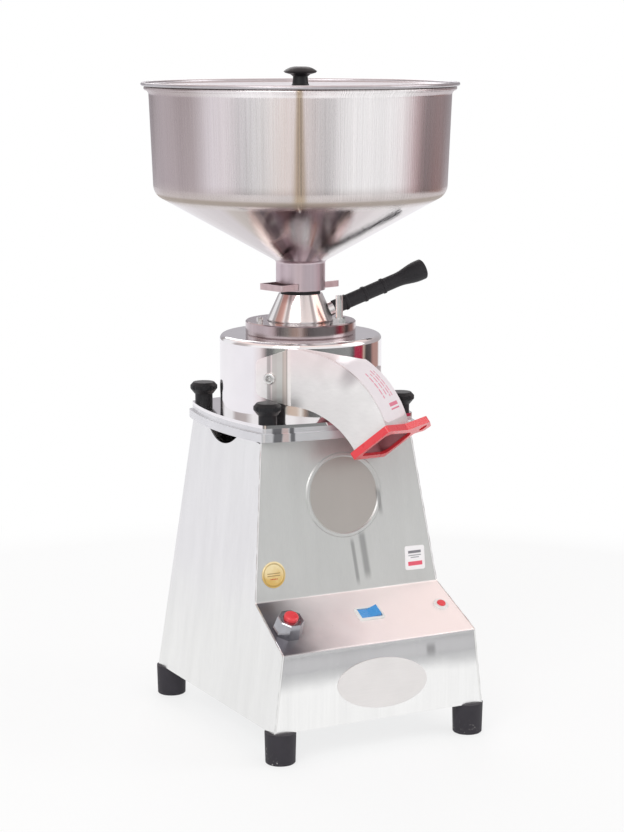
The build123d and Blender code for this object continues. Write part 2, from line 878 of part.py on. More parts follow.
def furrows(level, depth):
    """Cuts the dressing furrows of a stone into the face at a level."""
    with BuildSketch(Plane.XY.offset(level)) as cuts:
        with PolarLocations((stone_eye_radius + stone_radius) / 2 + 4, furrow_count):
            Rectangle(stone_radius - stone_eye_radius - 2 * furrow_margin, furrow_width, rotation=20)
    extrude(cuts.sketch, amount=depth, mode=Mode.SUBTRACT)


with BuildPart() as lower_stone:
    with BuildSketch(Plane.XY.offset(lower_stone_bottom)):
        Circle(stone_radius)
        Circle(lower_stone_bore, mode=Mode.SUBTRACT)
    extrude(amount=lower_stone_thickness)
    furrows(lower_stone_top, -furrow_depth)

with BuildPart() as upper_stone:
    with BuildSketch(Plane.XY.offset(upper_stone_bottom)):
        Circle(stone_radius)
        Circle(stone_eye_radius, mode=Mode.SUBTRACT)
    extrude(amount=upper_stone_thickness)
    furrows(upper_stone_bottom, furrow_depth)

with BuildPart() as stone_carrier:
    with BuildSketch(Plane.XY.offset(upper_stone_top)):
        Circle(carrier_radius)
        Circle(stone_eye_radius, mode=Mode.SUBTRACT)
        with Locations(*around(guide_pin_angles)):
            Circle(guide_pin_radius + fit_clearance, mode=Mode.SUBTRACT)
    extrude(amount=carrier_thickness)
    with BuildSketch(Plane.XY.offset(carrier_top)):
        Circle(carrier_collar_radius)
        Circle(hub_flange_radius + free_gap, mode=Mode.SUBTRACT)
    extrude(amount=carrier_collar_height)
    snap_level = carrier_top + hub_flange_thickness + free_gap
    with BuildSketch(Plane.XY.offset(snap_level)):
        Circle(hub_flange_radius + free_gap + snap_ring_bite)
    extrude(amount=snap_ring_thickness, mode=Mode.SUBTRACT)

with BuildPart() as carrier_snap_ring:
    with BuildSketch(Plane.XY.offset(snap_level)):
        Circle(hub_flange_radius + free_gap + snap_ring_bite)
        Circle(hub_radius + free_gap, mode=Mode.SUBTRACT)
    extrude(amount=snap_ring_thickness)

with BuildPart() as feed_screw:
    feed_screw_bottom = lower_stone_bottom + sweeper_hub_height
    feed_screw_top = feed_screw_bottom + feed_screw_height
    with BuildSketch(Plane.XY.offset(feed_screw_bottom)):
        Circle(sweeper_hub_radius)
    extrude(amount=lower_stone_top - feed_screw_bottom)
    with BuildSketch(Plane.XY.offset(lower_stone_top)):
        Circle(feed_screw_radius)
    extrude(amount=feed_screw_top - lower_stone_top, taper=12)
    with BuildSketch(Plane.XY.offset(lower_stone_top + 1)):
        with PolarLocations(0, 2):
            with Locations((paddle_reach / 2, 0)):
                Rectangle(paddle_reach, paddle_thickness)
    extrude(amount=feed_screw_top - lower_stone_top - paddle_drop)
    with BuildSketch(Plane.XY.offset(feed_screw_bottom)):
        Circle(shaft_radius)
    extrude(amount=feed_screw_height / 2, mode=Mode.SUBTRACT)

# Hopper: neck with gate slots, cone, wall and rolled rim, drawn as one skin
with BuildPart() as hopper_skin:
    with BuildSketch(Plane.XZ):
        with BuildLine():
            skin = FilletPolyline(
                (spigot_radius + free_gap, gasket_top),
                (neck_radius, gasket_top),
                (neck_radius, neck_top),
                (hopper_floor_radius, hopper_corner_z),
                (hopper_top_radius, hopper_top - 3),
                (hopper_top_radius + rim_reach, hopper_top),
                radius=(0.5, neck_corner, hopper_corner, 4.0),
            )
            offset(amount=hopper_sheet, side=Side.LEFT)
        make_face()
        with Locations((hopper_top_radius + rim_reach, rim_bead_z - 0.4)):
            Circle(rim_bead)
    revolve(axis=Axis.Z)
    gate_plane = Plane.XY.rotated((0, 0, gate_direction))
    with BuildSketch(gate_plane.offset(neck_floor)):
        Rectangle(3 * neck_radius, gate_width + 2 * free_gap)
    extrude(amount=gate_height + 2 * free_gap, mode=Mode.SUBTRACT)

# The neck is welded on where the cone starts
neck_weld = Plane.XY.offset(neck_top + neck_weld_rise)
with BuildPart() as hopper:
    add(hopper_skin.part)
    split(bisect_by=neck_weld, keep=Keep.TOP)

with BuildPart() as hopper_neck:
    add(hopper_skin.part)
    split(bisect_by=neck_weld, keep=Keep.BOTTOM)

with BuildPart() as feed_gate:
    with BuildSketch(gate_plane.offset(gate_bottom)):
        with Locations(((gate_front - gate_rear) / 2, 0)):
            RectangleRounded(gate_front + gate_rear, gate_width, 2.0)
    extrude(amount=gate_height)
    with BuildSketch(gate_plane.offset(gate_bottom + gate_sheet)):
        with Locations((gate_front - gate_sheet, 0)):
            Rectangle(
                2 * (gate_front + gate_rear),
                gate_width - 2 * gate_sheet,
                align=(Align.MAX, Align.CENTER),
            )
    extrude(amount=gate_height, mode=Mode.SUBTRACT)

with BuildPart() as lid:
    with BuildSketch(Plane.XZ):
        with BuildLine():
            step_radius = hopper_top_radius - lid_step_inset
            lid_edge = hopper_top_radius + rim_reach + rim_bead + lid_reach
            top_line = FilletPolyline(
                (0, lid_panel),
                (step_radius, lid_panel),
                (step_radius + lid_step_depth, lid_seat + lid_sheet),
                (lid_edge, lid_seat + lid_sheet),
                radius=0.7,
            )
            offset(amount=lid_sheet, side=Side.RIGHT)
        make_face()
        with Locations((lid_edge, lid_seat + lid_sheet / 2 + 0.6)):
            Circle(lid_bead)
    revolve(axis=Axis.Z)
    with BuildSketch(Plane.XY.offset(lid_panel)):
        Circle(knob_screw_radius + fit_clearance)
    extrude(amount=-2 * lid_sheet, mode=Mode.SUBTRACT)

with BuildPart() as lid_knob:
    with BuildSketch(Plane.XZ):
        with BuildLine():
            knob_top = lid_panel + knob_height
            cap_bottom = lid_panel + knob_stem_height
            foot = Polyline(
                (0, lid_panel),
                (knob_stem_radius + 1, lid_panel),
                (knob_stem_radius, lid_panel + 2),
                (knob_stem_radius - 0.5, cap_bottom - 2.5),
            )
            under = Polyline(
                foot @ 1,
                (knob_stem_radius + 2, cap_bottom - 0.6),
                (knob_cap_radius - 1.2, cap_bottom + 1),
                (knob_cap_radius, cap_bottom + 2.4),
            )
            crown = ThreePointArc(
                under @ 1,
                (0.72 * knob_cap_radius, knob_top - 1.6),
                (0.3 * knob_cap_radius, knob_top),
            )
            Polyline(crown @ 1, (0, knob_top), foot @ 0)
        make_face()
    revolve(axis=Axis.Z)
    with BuildSketch(Plane.XY.offset(lid_panel)):
        Circle(knob_screw_radius + fit_clearance)
    extrude(amount=knob_screw_length - 1, mode=Mode.SUBTRACT)

with BuildPart() as lid_knob_screw:
    with BuildSketch(Plane.XY.offset(lid_panel - lid_sheet)):
        Circle(2.2 * knob_screw_radius)
    extrude(amount=-2.5)
    with BuildSketch(Plane.XY.offset(lid_panel - lid_sheet)):
        Circle(knob_screw_radius)
    extrude(amount=knob_screw_length - 1.5)


def ear(start, end, low, high):
    """Adds a curved ear that lies on the drum between two angles and two heights."""
    inner = chamber_radius + fit_clearance
    reach = 2 * chamber_radius
    first, last = sorted((start, end))
    middle = (first + last) / 2
    with BuildSketch(Plane.XY.offset(low)) as wedge:
        with BuildLine():
            Polyline(
                (0, 0),
                *[
                    (reach * cos(radians(a)), reach * sin(radians(a)))
                    for a in (first, middle, last)
                ],
                close=True,
            )
        make_face()
        Circle(inner + ear_sheet, mode=Mode.INTERSECT)
        Circle(inner, mode=Mode.SUBTRACT)
    extrude(wedge.sketch, amount=high - low)


def near_ear():
    """Adds the ear that carries the chute's near side on round the drum and narrows to its end."""
    inner = chamber_radius + fit_clearance
    shell = inner + ear_sheet
    fold = (shell**2 - chute_near**2) ** 0.5
    fold_high = bend_outer_z + (bend_outer_radius**2 - (fold - bend_outer_ahead) ** 2) ** 0.5
    fold_low = bend_inner_z + (bend_inner_radius**2 - (fold - bend_inner_ahead) ** 2) ** 0.5
    with BuildSketch(chute_plane.offset(0.5 * chamber_radius)) as outline:
        with BuildLine() as edges:
            Polyline(
                (fold, fold_low),
                (fold, fold_high),
                (-near_ear_reach, near_ear_high),
                (-near_ear_reach, near_ear_low),
                close=True,
            )
        make_face(edges.edges())
        fillet(outline.vertices().group_by(Axis.X)[0], radius=ear_corner)
    with BuildPart(mode=Mode.PRIVATE) as sheet_ear:
        extrude(outline.sketch, amount=chamber_radius)
        with BuildSketch(Plane.XY.offset(near_ear_low - shell)):
            Circle(shell)
        extrude(amount=4 * shell, mode=Mode.INTERSECT)
        with BuildSketch(Plane.XY.offset(near_ear_low - shell)):
            Circle(inner)
        extrude(amount=4 * shell, mode=Mode.SUBTRACT)
    add(sheet_ear.part)


# Outlet chute: a bent rectangular duct that fits round the drum and is screwed to it by two ears
with BuildPart() as outlet_chute:
    with BuildSketch(chute_plane.offset(chute_near - chute_width)):
        chute_side(0, mouth_over)
    extrude(amount=chute_width)
    with BuildSketch(chute_plane.offset(chute_near - chute_width + chute_sheet)):
        chute_side(-chute_sheet, 1.5 * mouth_over)
    extrude(amount=chute_width - 2 * chute_sheet, mode=Mode.SUBTRACT)
    split(bisect_by=mouth_plane, keep=Keep.BOTTOM)
    with BuildSketch(Plane.XY.offset(foot_height)):
        Circle(chamber_radius + fit_clearance)
    extrude(amount=2 * chamber_top, mode=Mode.SUBTRACT)
    near_ear()
    far_ear_start = chute_heading - degrees(asin((chute_near - chute_width + chute_sheet / 2) / chamber_radius))
    ear(far_ear_start, far_ear_end, far_ear_low, far_ear_high)
    for angle, height in (near_screw, far_screw):
        hole_plane = Plane(
            origin=(0, 0, height), z_dir=(cos(radians(angle)), sin(radians(angle)), 0)
        )
        with BuildSketch(hole_plane.offset(chamber_radius - 1)):
            Circle(chute_screw_radius + fit_clearance)
        extrude(amount=3 * ear_sheet, mode=Mode.SUBTRACT)

with BuildPart() as chute_screws:
    for angle, height in (near_screw, far_screw):
        seat = chamber_radius + fit_clearance + ear_sheet + 0.25
        screw_plane = Plane(
            origin=(seat * cos(radians(angle)), seat * sin(radians(angle)), height),
            z_dir=(cos(radians(angle)), sin(radians(angle)), 0),
        )
        with BuildSketch(screw_plane):
            Circle(chute_screw_head_radius)
        extrude(amount=chute_screw_head)
        with BuildSketch(screw_plane):
            Circle(chute_screw_radius)
        extrude(amount=-chute_screw_reach - ear_sheet)

with BuildPart() as mouth_collar:
    with BuildSketch(mouth_plane.offset(-collar_grip)) as collar_outline:
        with BuildLine():
            far_edge = chute_width + collar_band
            outer_edge = mouth_length + collar_band
            Polyline(
                (-collar_band, -collar_band),
                (far_edge, -collar_band),
                (far_edge, outer_edge - collar_ear_root),
                (far_edge + collar_ear_width - 2, outer_edge - 4),
                (far_edge + collar_ear_width, outer_edge + 4),
                (far_edge + 2, outer_edge + collar_ear_rise),
                (far_edge + collar_ear_width - collar_ear_length, outer_edge),
                (-collar_band, outer_edge),
                close=True,
            )
        make_face()
        fillet(collar_outline.vertices(), radius=collar_corner)
    extrude(amount=collar_grip + collar_lip)
    with BuildSketch(mouth_plane.offset(-collar_grip)):
        with Locations((chute_width / 2, mouth_length / 2)):
            RectangleRounded(chute_width - 2 * chute_sheet, mouth_length - 2 * chute_sheet, 8.0)
    extrude(amount=collar_grip + collar_lip, mode=Mode.SUBTRACT)
    with BuildSketch(mouth_plane.offset(-collar_grip)):
        with Locations((far_edge + 4, outer_edge + 1.5)):
            Circle(bag_hole_radius)
    extrude(amount=collar_grip + collar_lip, mode=Mode.SUBTRACT)
    with BuildPart(mode=Mode.PRIVATE) as chute_end:
        with BuildSketch(chute_plane.offset(chute_near - chute_width - fit_clearance)):
            chute_side(fit_clearance, mouth_over)
        extrude(amount=chute_width + 2 * fit_clearance)
        split(bisect_by=mouth_plane, keep=Keep.BOTTOM)
    add(chute_end.part, mode=Mode.SUBTRACT)
    split(bisect_by=badge_plane.offset(collar_panel_gap), keep=Keep.TOP)


def clamp_knob(x, y):
    """One moulded hand knob with a lobed cap, screwed down on its stud."""
    rim_low = clamp_stem_height + clamp_flare_height
    knob_high = clamp_stem_height + clamp_cap_height
    with BuildPart() as knob:
        with BuildSketch(Plane(origin=(x, y, flange_top), x_dir=(1, 0, 0), z_dir=(0, -1, 0))):
            with BuildLine():
                Polyline(
                    (0, 0),
                    (clamp_stem_radius, 0),
                    (clamp_stem_radius, clamp_stem_height),
                    (clamp_cap_root_radius, clamp_stem_height),
                    (clamp_cap_radius, rim_low),
                    (clamp_cap_radius, rim_low + clamp_rim_height),
                    (clamp_cap_top_radius, knob_high),
                    (0, knob_high),
                    close=True,
                )
            make_face()
        revolve(axis=Axis((x, y, flange_top), (0, 0, 1)))
        with BuildSketch(Plane(origin=(x, y, flange_top + clamp_stem_height))):
            with PolarLocations(clamp_cap_radius + clamp_lobe_radius - clamp_lobe_bite, clamp_lobes):
                Circle(clamp_lobe_radius)
        extrude(amount=clamp_cap_height, mode=Mode.SUBTRACT)
        with BuildSketch(Plane(origin=(x, y, flange_top))):
            Circle(stud_radius + fit_clearance)
        extrude(amount=stud_height_above_flange + 1, mode=Mode.SUBTRACT)
    return knob


clamp_knob_front_left = clamp_knob(-stud_offset, -stud_offset)
clamp_knob_rear_left = clamp_knob(-stud_offset, stud_offset)
clamp_knob_front_right = clamp_knob(stud_offset, -stud_offset)
clamp_knob_rear_right = clamp_knob(stud_offset, stud_offset)


# Console fittings stand on the sloping console
def console_at(x, rise, height=0.0):
    """The console's plane moved to one fitting and lifted off the sheet."""
    return Plane(
        origin=console_plane.from_local_coords((x, rise, height)),
        x_dir=console_plane.x_dir,
        z_dir=console_plane.z_dir,
    )


with BuildPart() as breaker_bezel:
    with BuildSketch(console_at(breaker_x, breaker_rise)):
        RegularPolygon(radius=bezel_flats / 2, side_count=8, major_radius=False, rotation=22.5)
    with BuildSketch(console_at(breaker_x, breaker_rise, bezel_height)):
        RegularPolygon(radius=bezel_flats / 2 - bezel_taper, side_count=8, major_radius=False, rotation=22.5)
    loft()
    chamfer(breaker_bezel.faces().sort_by(Axis(console_plane.origin, console_plane.z_dir))[-1].edges(),
            length=bezel_edge / 2)
    with BuildSketch(console_at(breaker_x, breaker_rise)):
        Circle(breaker_neck_radius + fit_clearance)
    extrude(amount=breaker_neck_height + fit_clearance, mode=Mode.SUBTRACT)
    with BuildSketch(console_at(breaker_x, breaker_rise)):
        Circle(button_radius + free_gap)
    extrude(amount=bezel_height + 1, mode=Mode.SUBTRACT)

with BuildPart() as breaker_body:
    with BuildSketch(console_at(breaker_x, breaker_rise, -sheet)):
        RectangleRounded(breaker_side, breaker_side, 2.0)
    extrude(amount=-breaker_depth)
    with BuildSketch(console_at(breaker_x, breaker_rise, -sheet)):
        Circle(breaker_neck_radius)
    extrude(amount=sheet + breaker_neck_height)
    with BuildSketch(console_at(breaker_x, breaker_rise, breaker_neck_height)):
        Circle(button_radius + free_gap)
    button_pocket = button_length + button_stroke + free_gap - (bezel_height + button_proud - breaker_neck_height)
    extrude(amount=-button_pocket, mode=Mode.SUBTRACT)

with BuildPart() as reset_button:
    with BuildSketch(console_at(breaker_x, breaker_rise, bezel_height + button_proud)):
        Circle(button_radius)
    extrude(amount=-button_length)
    fillet(reset_button.faces().sort_by(Axis(console_plane.origin, console_plane.z_dir))[-1].edges(),
           radius=2.0)

with BuildPart() as switch_frame:
    with BuildSketch(console_at(switch_x, switch_rise)):
        RectangleRounded(frame_length, frame_width, 2.0)
        Rectangle(window_length, window_width, mode=Mode.SUBTRACT)
    extrude(amount=frame_height)
    chamfer(switch_frame.faces().sort_by(Axis(console_plane.origin, console_plane.z_dir))[-1]
            .outer_wire().edges(), length=0.6)

pivot_plane = console_at(switch_x, switch_rise, -rocker_pivot_depth)
with BuildPart() as switch_body:
    with BuildSketch(console_at(switch_x, switch_rise)):
        Rectangle(window_length + 2 * switch_wall, window_width + 2 * switch_wall)
    extrude(amount=-switch_depth)
    with BuildSketch(console_at(switch_x, switch_rise)):
        Rectangle(window_length, window_width)
    extrude(amount=-rocker_pivot_depth - rocker_bottom - 4, mode=Mode.SUBTRACT)
    with Locations(pivot_plane):
        Cylinder(
            trunnion_radius + fit_clearance,
            window_width + 4 * switch_wall,
            rotation=(90, 0, 0),
            mode=Mode.SUBTRACT,
        )

with BuildPart() as switch_rocker:
    # Local x along the rocker, local y up: the rocker leans with its right end up
    tilt = radians(rocker_tilt)
    rocker_side = Plane(
        origin=pivot_plane.origin,
        x_dir=pivot_plane.x_dir * cos(tilt) + pivot_plane.z_dir * sin(tilt),
        z_dir=pivot_plane.y_dir * -1,
    )
    with BuildSketch(rocker_side):
        with BuildLine():
            Polyline(
                (-rocker_length / 2, -rocker_bottom),
                (rocker_length / 2, -rocker_bottom),
                (rocker_length / 2, rocker_top),
                (0, rocker_middle),
                (-rocker_length / 2, rocker_top),
                close=True,
            )
        make_face()
    extrude(amount=rocker_width / 2, both=True)
    with BuildSketch(rocker_side):
        Circle(trunnion_radius)
    extrude(amount=window_width / 2 + trunnion_reach, both=True)

with BuildPart() as lamp_bezel:
    with BuildSketch(console_at(lamp_x, lamp_rise)):
        Circle(lamp_flange_radius)
    extrude(amount=lamp_flange_height)
    chamfer(lamp_bezel.edges().sort_by(Axis(console_plane.origin, console_plane.z_dir))[-1], length=0.7)
    with BuildSketch(console_at(lamp_x, lamp_rise)):
        Circle(lamp_tube_radius)
    extrude(amount=-lamp_tube_length)
    with BuildSketch(console_at(lamp_x, lamp_rise, lamp_flange_height)):
        Circle(lens_radius + fit_clearance)
    extrude(amount=-lamp_flange_height - lens_seat, mode=Mode.SUBTRACT)

with BuildPart() as lamp_lens:
    with BuildSketch(console_at(lamp_x, lamp_rise, -lens_seat)):
        Circle(lens_radius)
    extrude(amount=lens_seat + lamp_flange_height + lens_proud)
    fillet(lamp_lens.edges().sort_by(Axis(console_plane.origin, console_plane.z_dir))[-1], radius=1.2)

# Motor, from the plate downwards
upper_bearing_top = casing_top - 1
lower_bearing_bottom = lower_bell_bottom + 1


def end_bell(plate_level, rim_level, bearing_level):
    """One end bell: a plate with a bearing seat and a thick rim towards the core."""
    upward = 1 if rim_level > plate_level else -1
    with BuildPart() as bell:
        with BuildSketch(Plane.XY.offset(plate_level)):
            Circle(motor_radius)
        extrude(amount=upward * bell_depth)
        with BuildSketch(Plane.XY.offset(plate_level + upward * bell_plate)):
            Circle(motor_radius - bell_wall)
        extrude(amount=upward * bell_depth, mode=Mode.SUBTRACT)
        with BuildSketch(Plane.XY.offset(plate_level)):
            Circle(shaft_shoulder_radius + 1.5)
            with Locations(*bolts):
                Circle(bolt_radius + fit_clearance)
        extrude(amount=upward * bell_depth, mode=Mode.SUBTRACT)
        with BuildSketch(Plane.XY.offset(bearing_level)):
            Circle(bearing_radius + fit_clearance)
        extrude(amount=-upward * bell_depth, mode=Mode.SUBTRACT)
    return bell


upper_end_bell = end_bell(casing_top, core_top, upper_bearing_top - bearing_width)
lower_end_bell = end_bell(lower_bell_bottom, core_bottom, lower_bearing_bottom + bearing_width)


def ball_bearing(level):
    """A ball bearing: two races and a ring of balls that touch neither race's face."""
    middle = (bearing_radius + shaft_radius + fit_clearance) / 2
    with BuildPart() as bearing:
        with BuildSketch(Plane.XY.offset(level)):
            Circle(bearing_radius)
            Circle(shaft_radius + fit_clearance, mode=Mode.SUBTRACT)
        extrude(amount=bearing_width)
        for face in (level, level + bearing_width):
            inward = 1 if face == level else -1
            with BuildSketch(Plane.XY.offset(face)):
                Circle(middle + 1.6)
                Circle(middle - 1.6, mode=Mode.SUBTRACT)
            extrude(amount=inward * 1.2, mode=Mode.SUBTRACT)
    return bearing


upper_bearing = ball_bearing(upper_bearing_top - bearing_width)
lower_bearing = ball_bearing(lower_bearing_bottom)

with BuildPart() as stator_core:
    with BuildSketch(Plane.XY.offset(core_bottom)):
        Circle(motor_radius)
        Circle(core_bore, mode=Mode.SUBTRACT)
        with PolarLocations(core_bore + core_slot_depth / 2 - 1, core_slots):
            Rectangle(core_slot_depth + 2, core_slot_width, mode=Mode.SUBTRACT)
        with Locations(*bolts):
            Circle(bolt_radius + fit_clearance, mode=Mode.SUBTRACT)
    extrude(amount=core_height)

with BuildPart() as stator_windings:
    for level, upward in ((core_top, 1), (core_bottom, -1)):
        with BuildSketch(Plane.XY.offset(level)):
            Circle(winding_outer)
            Circle(winding_inner, mode=Mode.SUBTRACT)
        extrude(amount=upward * winding_height)
    chamfer(stator_windings.edges().filter_by(GeomType.CIRCLE).group_by(Axis.Z)[-1], length=3)
    chamfer(stator_windings.edges().filter_by(GeomType.CIRCLE).group_by(Axis.Z)[0], length=3)

with BuildPart() as rotor_core:
    with BuildSketch(Plane.XY.offset(core_bottom - rotor_ring_height)):
        Circle(core_bore - rotor_gap)
        Circle(shaft_shoulder_radius, mode=Mode.SUBTRACT)
    extrude(amount=core_height + 2 * rotor_ring_height)

with BuildPart() as spindle:
    with BuildSketch(Plane.XZ):
        with BuildLine():
            shoulder_low = lower_bearing_bottom + bearing_width + free_gap
            shoulder_high = upper_bearing_top - bearing_width - free_gap
            spindle_top = feed_screw_bottom + feed_screw_height / 2
            Polyline(
                (0, shaft_bottom),
                (shaft_radius, shaft_bottom),
                (shaft_radius, shoulder_low),
                (shaft_shoulder_radius, shoulder_low),
                (shaft_shoulder_radius, shoulder_high),
                (shaft_radius, shoulder_high),
                (shaft_radius, spindle_top),
                (0, spindle_top),
                close=True,
            )
        make_face()
    revolve(axis=Axis.Z)

with BuildPart() as shaft_seal:
    with BuildSketch(Plane.XY.offset(casing_top)):
        Circle(seal_radius)
        Circle(shaft_radius + fit_clearance, mode=Mode.SUBTRACT)
    extrude(amount=seal_height)

with BuildPart() as motor_bolts:
    bolt_bottom = lower_bell_bottom - bolt_head_height
    for x, y in bolts:
        with BuildSketch(Plane(origin=(x, y, bolt_bottom))):
            RegularPolygon(radius=bolt_head_flats / 2, side_count=6, major_radius=False)
        extrude(amount=bolt_head_height)
        with BuildSketch(Plane(origin=(x, y, lower_bell_bottom))):
            Circle(bolt_radius)
        extrude(amount=casing_top + bolt_grip_in_plate - lower_bell_bottom)

fan_top = lower_bell_bottom - bolt_head_height - fan_top_gap
with BuildPart() as cooling_fan:
    with BuildSketch(Plane.XY.offset(fan_top)):
        Circle(fan_radius)
    extrude(amount=-2)
    with BuildSketch(Plane.XY.offset(fan_top)):
        Circle(fan_hub_radius)
    extrude(amount=-fan_height)
    with BuildSketch(Plane.XY.offset(fan_top)):
        with PolarLocations((fan_radius + fan_hub_radius) / 2 - fan_blade_thickness, fan_blades):
            Rectangle(fan_radius - fan_hub_radius, fan_blade_thickness)
    extrude(amount=-fan_height)
    with BuildSketch(Plane.XY.offset(fan_top)):
        Circle(shaft_radius)
    extrude(amount=-fan_height, mode=Mode.SUBTRACT)

# Run capacitor and its clip on the base plate, and the cord gland in the rear panel
base_top = foot_height + base_thickness
with BuildPart() as run_capacitor:
    with BuildSketch(Plane(origin=(capacitor_x, capacitor_y, base_top + clip_thickness))):
        Circle(capacitor_radius)
    extrude(amount=capacitor_height)
    fillet(run_capacitor.faces().sort_by(Axis.Z)[-1].edges(), radius=2.0)

with BuildPart() as capacitor_clip:
    with BuildSketch(Plane(origin=(capacitor_x, capacitor_y, base_top))):
        Circle(capacitor_radius + fit_clearance + clip_thickness)
    extrude(amount=clip_height)
    with BuildSketch(Plane(origin=(capacitor_x, capacitor_y, base_top + clip_thickness))):
        Circle(capacitor_radius + fit_clearance)
    extrude(amount=clip_height, mode=Mode.SUBTRACT)

with BuildPart() as cord_gland:
    with BuildSketch(gland_plane):
        Circle(gland_flange_radius)
    extrude(amount=gland_flange)
    with BuildSketch(gland_plane.offset(gland_flange)):
        Circle(gland_nose_radius)
    extrude(amount=gland_nose, taper=5)
    with BuildSketch(gland_plane):
        Circle(gland_hole_radius)
    extrude(amount=-gland_tail - sheet)
    with BuildSketch(gland_plane.offset(gland_flange + gland_nose)):
        Circle(gland_bore_radius)
    extrude(amount=-gland_flange - gland_nose - gland_tail - sheet, mode=Mode.SUBTRACT)

with BuildPart() as gland_nut:
    hexagon_nut(
        gland_nut_flats,
        gland_nut_height,
        gland_hole_radius + fit_clearance,
        gland_plane.offset(-sheet - gland_nut_height),
    )

pieces = {
    "front_panel": front_panel,
    "left_side_panel": left_side_panel,
    "right_side_panel": right_side_panel,
    "rear_panel": rear_panel,
    "base_plate": base_plate,
    "rubber_feet": rubber_feet,
    "foot_screws": foot_screws,
    "motor_plate": motor_plate,
    "clamp_studs": clamp_studs,
    "grinding_chamber": grinding_chamber,
    "threaded_ring": threaded_ring,
    "ring_screws": ring_screws,
    "stop_stud": stop_stud,
    "guide_pins": guide_pins,
    "feed_cone": feed_cone,
    "lever_rod": lever_rod,
    "lever_grip": lever_grip,
    "cone_gasket": cone_gasket,
    "sweeper_plate": sweeper_plate,
    "lower_stone": lower_stone,
    "upper_stone": upper_stone,
    "stone_carrier": stone_carrier,
    "carrier_snap_ring": carrier_snap_ring,
    "feed_screw": feed_screw,
    "hopper": hopper,
    "hopper_neck": hopper_neck,
    "feed_gate": feed_gate,
    "lid": lid,
    "lid_knob": lid_knob,
    "lid_knob_screw": lid_knob_screw,
    "outlet_chute": outlet_chute,
    "chute_screws": chute_screws,
    "mouth_collar": mouth_collar,
    "clamp_knob_front_left": clamp_knob_front_left,
    "clamp_knob_rear_left": clamp_knob_rear_left,
    "clamp_knob_front_right": clamp_knob_front_right,
    "clamp_knob_rear_right": clamp_knob_rear_right,
    "breaker_bezel": breaker_bezel,
    "breaker_body": breaker_body,
    "reset_button": reset_button,
    "switch_frame": switch_frame,
    "switch_body": switch_body,
    "switch_rocker": switch_rocker,
    "lamp_bezel": lamp_bezel,
    "lamp_lens": lamp_lens,
    "upper_end_bell": upper_end_bell,
    "lower_end_bell": lower_end_bell,
    "upper_bearing": upper_bearing,
    "lower_bearing": lower_bearing,
    "stator_core": stator_core,
    "stator_windings": stator_windings,
    "rotor_core": rotor_core,
    "spindle": spindle,
    "shaft_seal": shaft_seal,
    "motor_bolts": motor_bolts,
    "cooling_fan": cooling_fan,
    "run_capacitor": run_capacitor,
    "capacitor_clip": capacitor_clip,
    "cord_gland": cord_gland,
    "gland_nut": gland_nut,
}

# The pieces are written in the library's frame, which starts under the middle of the whole mill
lid_outer_radius = hopper_top_radius + rim_reach + rim_bead + lid_reach + lid_bead
middle_y = (lid_outer_radius + foot_front_y - foot_radius) / 2
os.makedirs("parts", exist_ok=True)
for name, piece in pieces.items():
    placed = Pos(0, -middle_y, 0) * piece.part
    placed.label = name
    export_step(placed, f"parts/{name}.step")
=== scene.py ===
"""The looks of a table-top flour mill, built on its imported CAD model. Lengths are in metres."""

from math import atan2, cos, pi, radians, sin, sqrt, tan

import bmesh
import bpy
from mathutils import Matrix, Vector
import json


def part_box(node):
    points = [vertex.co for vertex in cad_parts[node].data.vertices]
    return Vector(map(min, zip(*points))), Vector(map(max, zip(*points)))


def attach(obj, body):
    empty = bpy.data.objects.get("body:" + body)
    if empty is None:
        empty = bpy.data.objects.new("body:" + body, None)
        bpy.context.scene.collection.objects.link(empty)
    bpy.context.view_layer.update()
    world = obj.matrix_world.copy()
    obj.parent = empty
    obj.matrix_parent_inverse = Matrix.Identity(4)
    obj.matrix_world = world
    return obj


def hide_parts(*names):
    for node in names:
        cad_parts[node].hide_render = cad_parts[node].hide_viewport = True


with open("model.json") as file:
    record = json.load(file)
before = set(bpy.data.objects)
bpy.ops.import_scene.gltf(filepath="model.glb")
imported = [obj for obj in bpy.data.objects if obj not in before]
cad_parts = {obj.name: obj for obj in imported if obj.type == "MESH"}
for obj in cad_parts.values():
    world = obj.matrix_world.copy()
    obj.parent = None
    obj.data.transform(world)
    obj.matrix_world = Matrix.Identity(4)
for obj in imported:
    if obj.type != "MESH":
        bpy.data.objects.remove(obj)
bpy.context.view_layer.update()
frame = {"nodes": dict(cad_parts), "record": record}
nodes = frame["nodes"]

# Camera: the photograph's viewpoint, found by fitting the mill's edges to it
CAMERA_PLACE = Vector((-0.98708, -1.91781, 0.67483))
CAMERA_TARGET = Vector((0.012704, 0.0086, 0.295277))
CAMERA_LENS = 95.47
CAMERA_SENSOR = 36.0

camera_data = bpy.data.cameras.new("camera")
camera_data.lens = CAMERA_LENS
camera_data.sensor_width = CAMERA_SENSOR
camera = bpy.data.objects.new("camera", camera_data)
camera.location = CAMERA_PLACE
camera.rotation_mode = "QUATERNION"
camera.rotation_quaternion = (CAMERA_TARGET - CAMERA_PLACE).to_track_quat("-Z", "Y")
bpy.context.scene.collection.objects.link(camera)
bpy.context.scene.camera = camera
bpy.context.scene.view_settings.view_transform = "Standard"

# The spindle's axis, which the round parts turn about
UP = Vector((0, 0, 1))
spindle_low, spindle_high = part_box("spindle")
AXIS_Y = (spindle_low.y + spindle_high.y) / 2

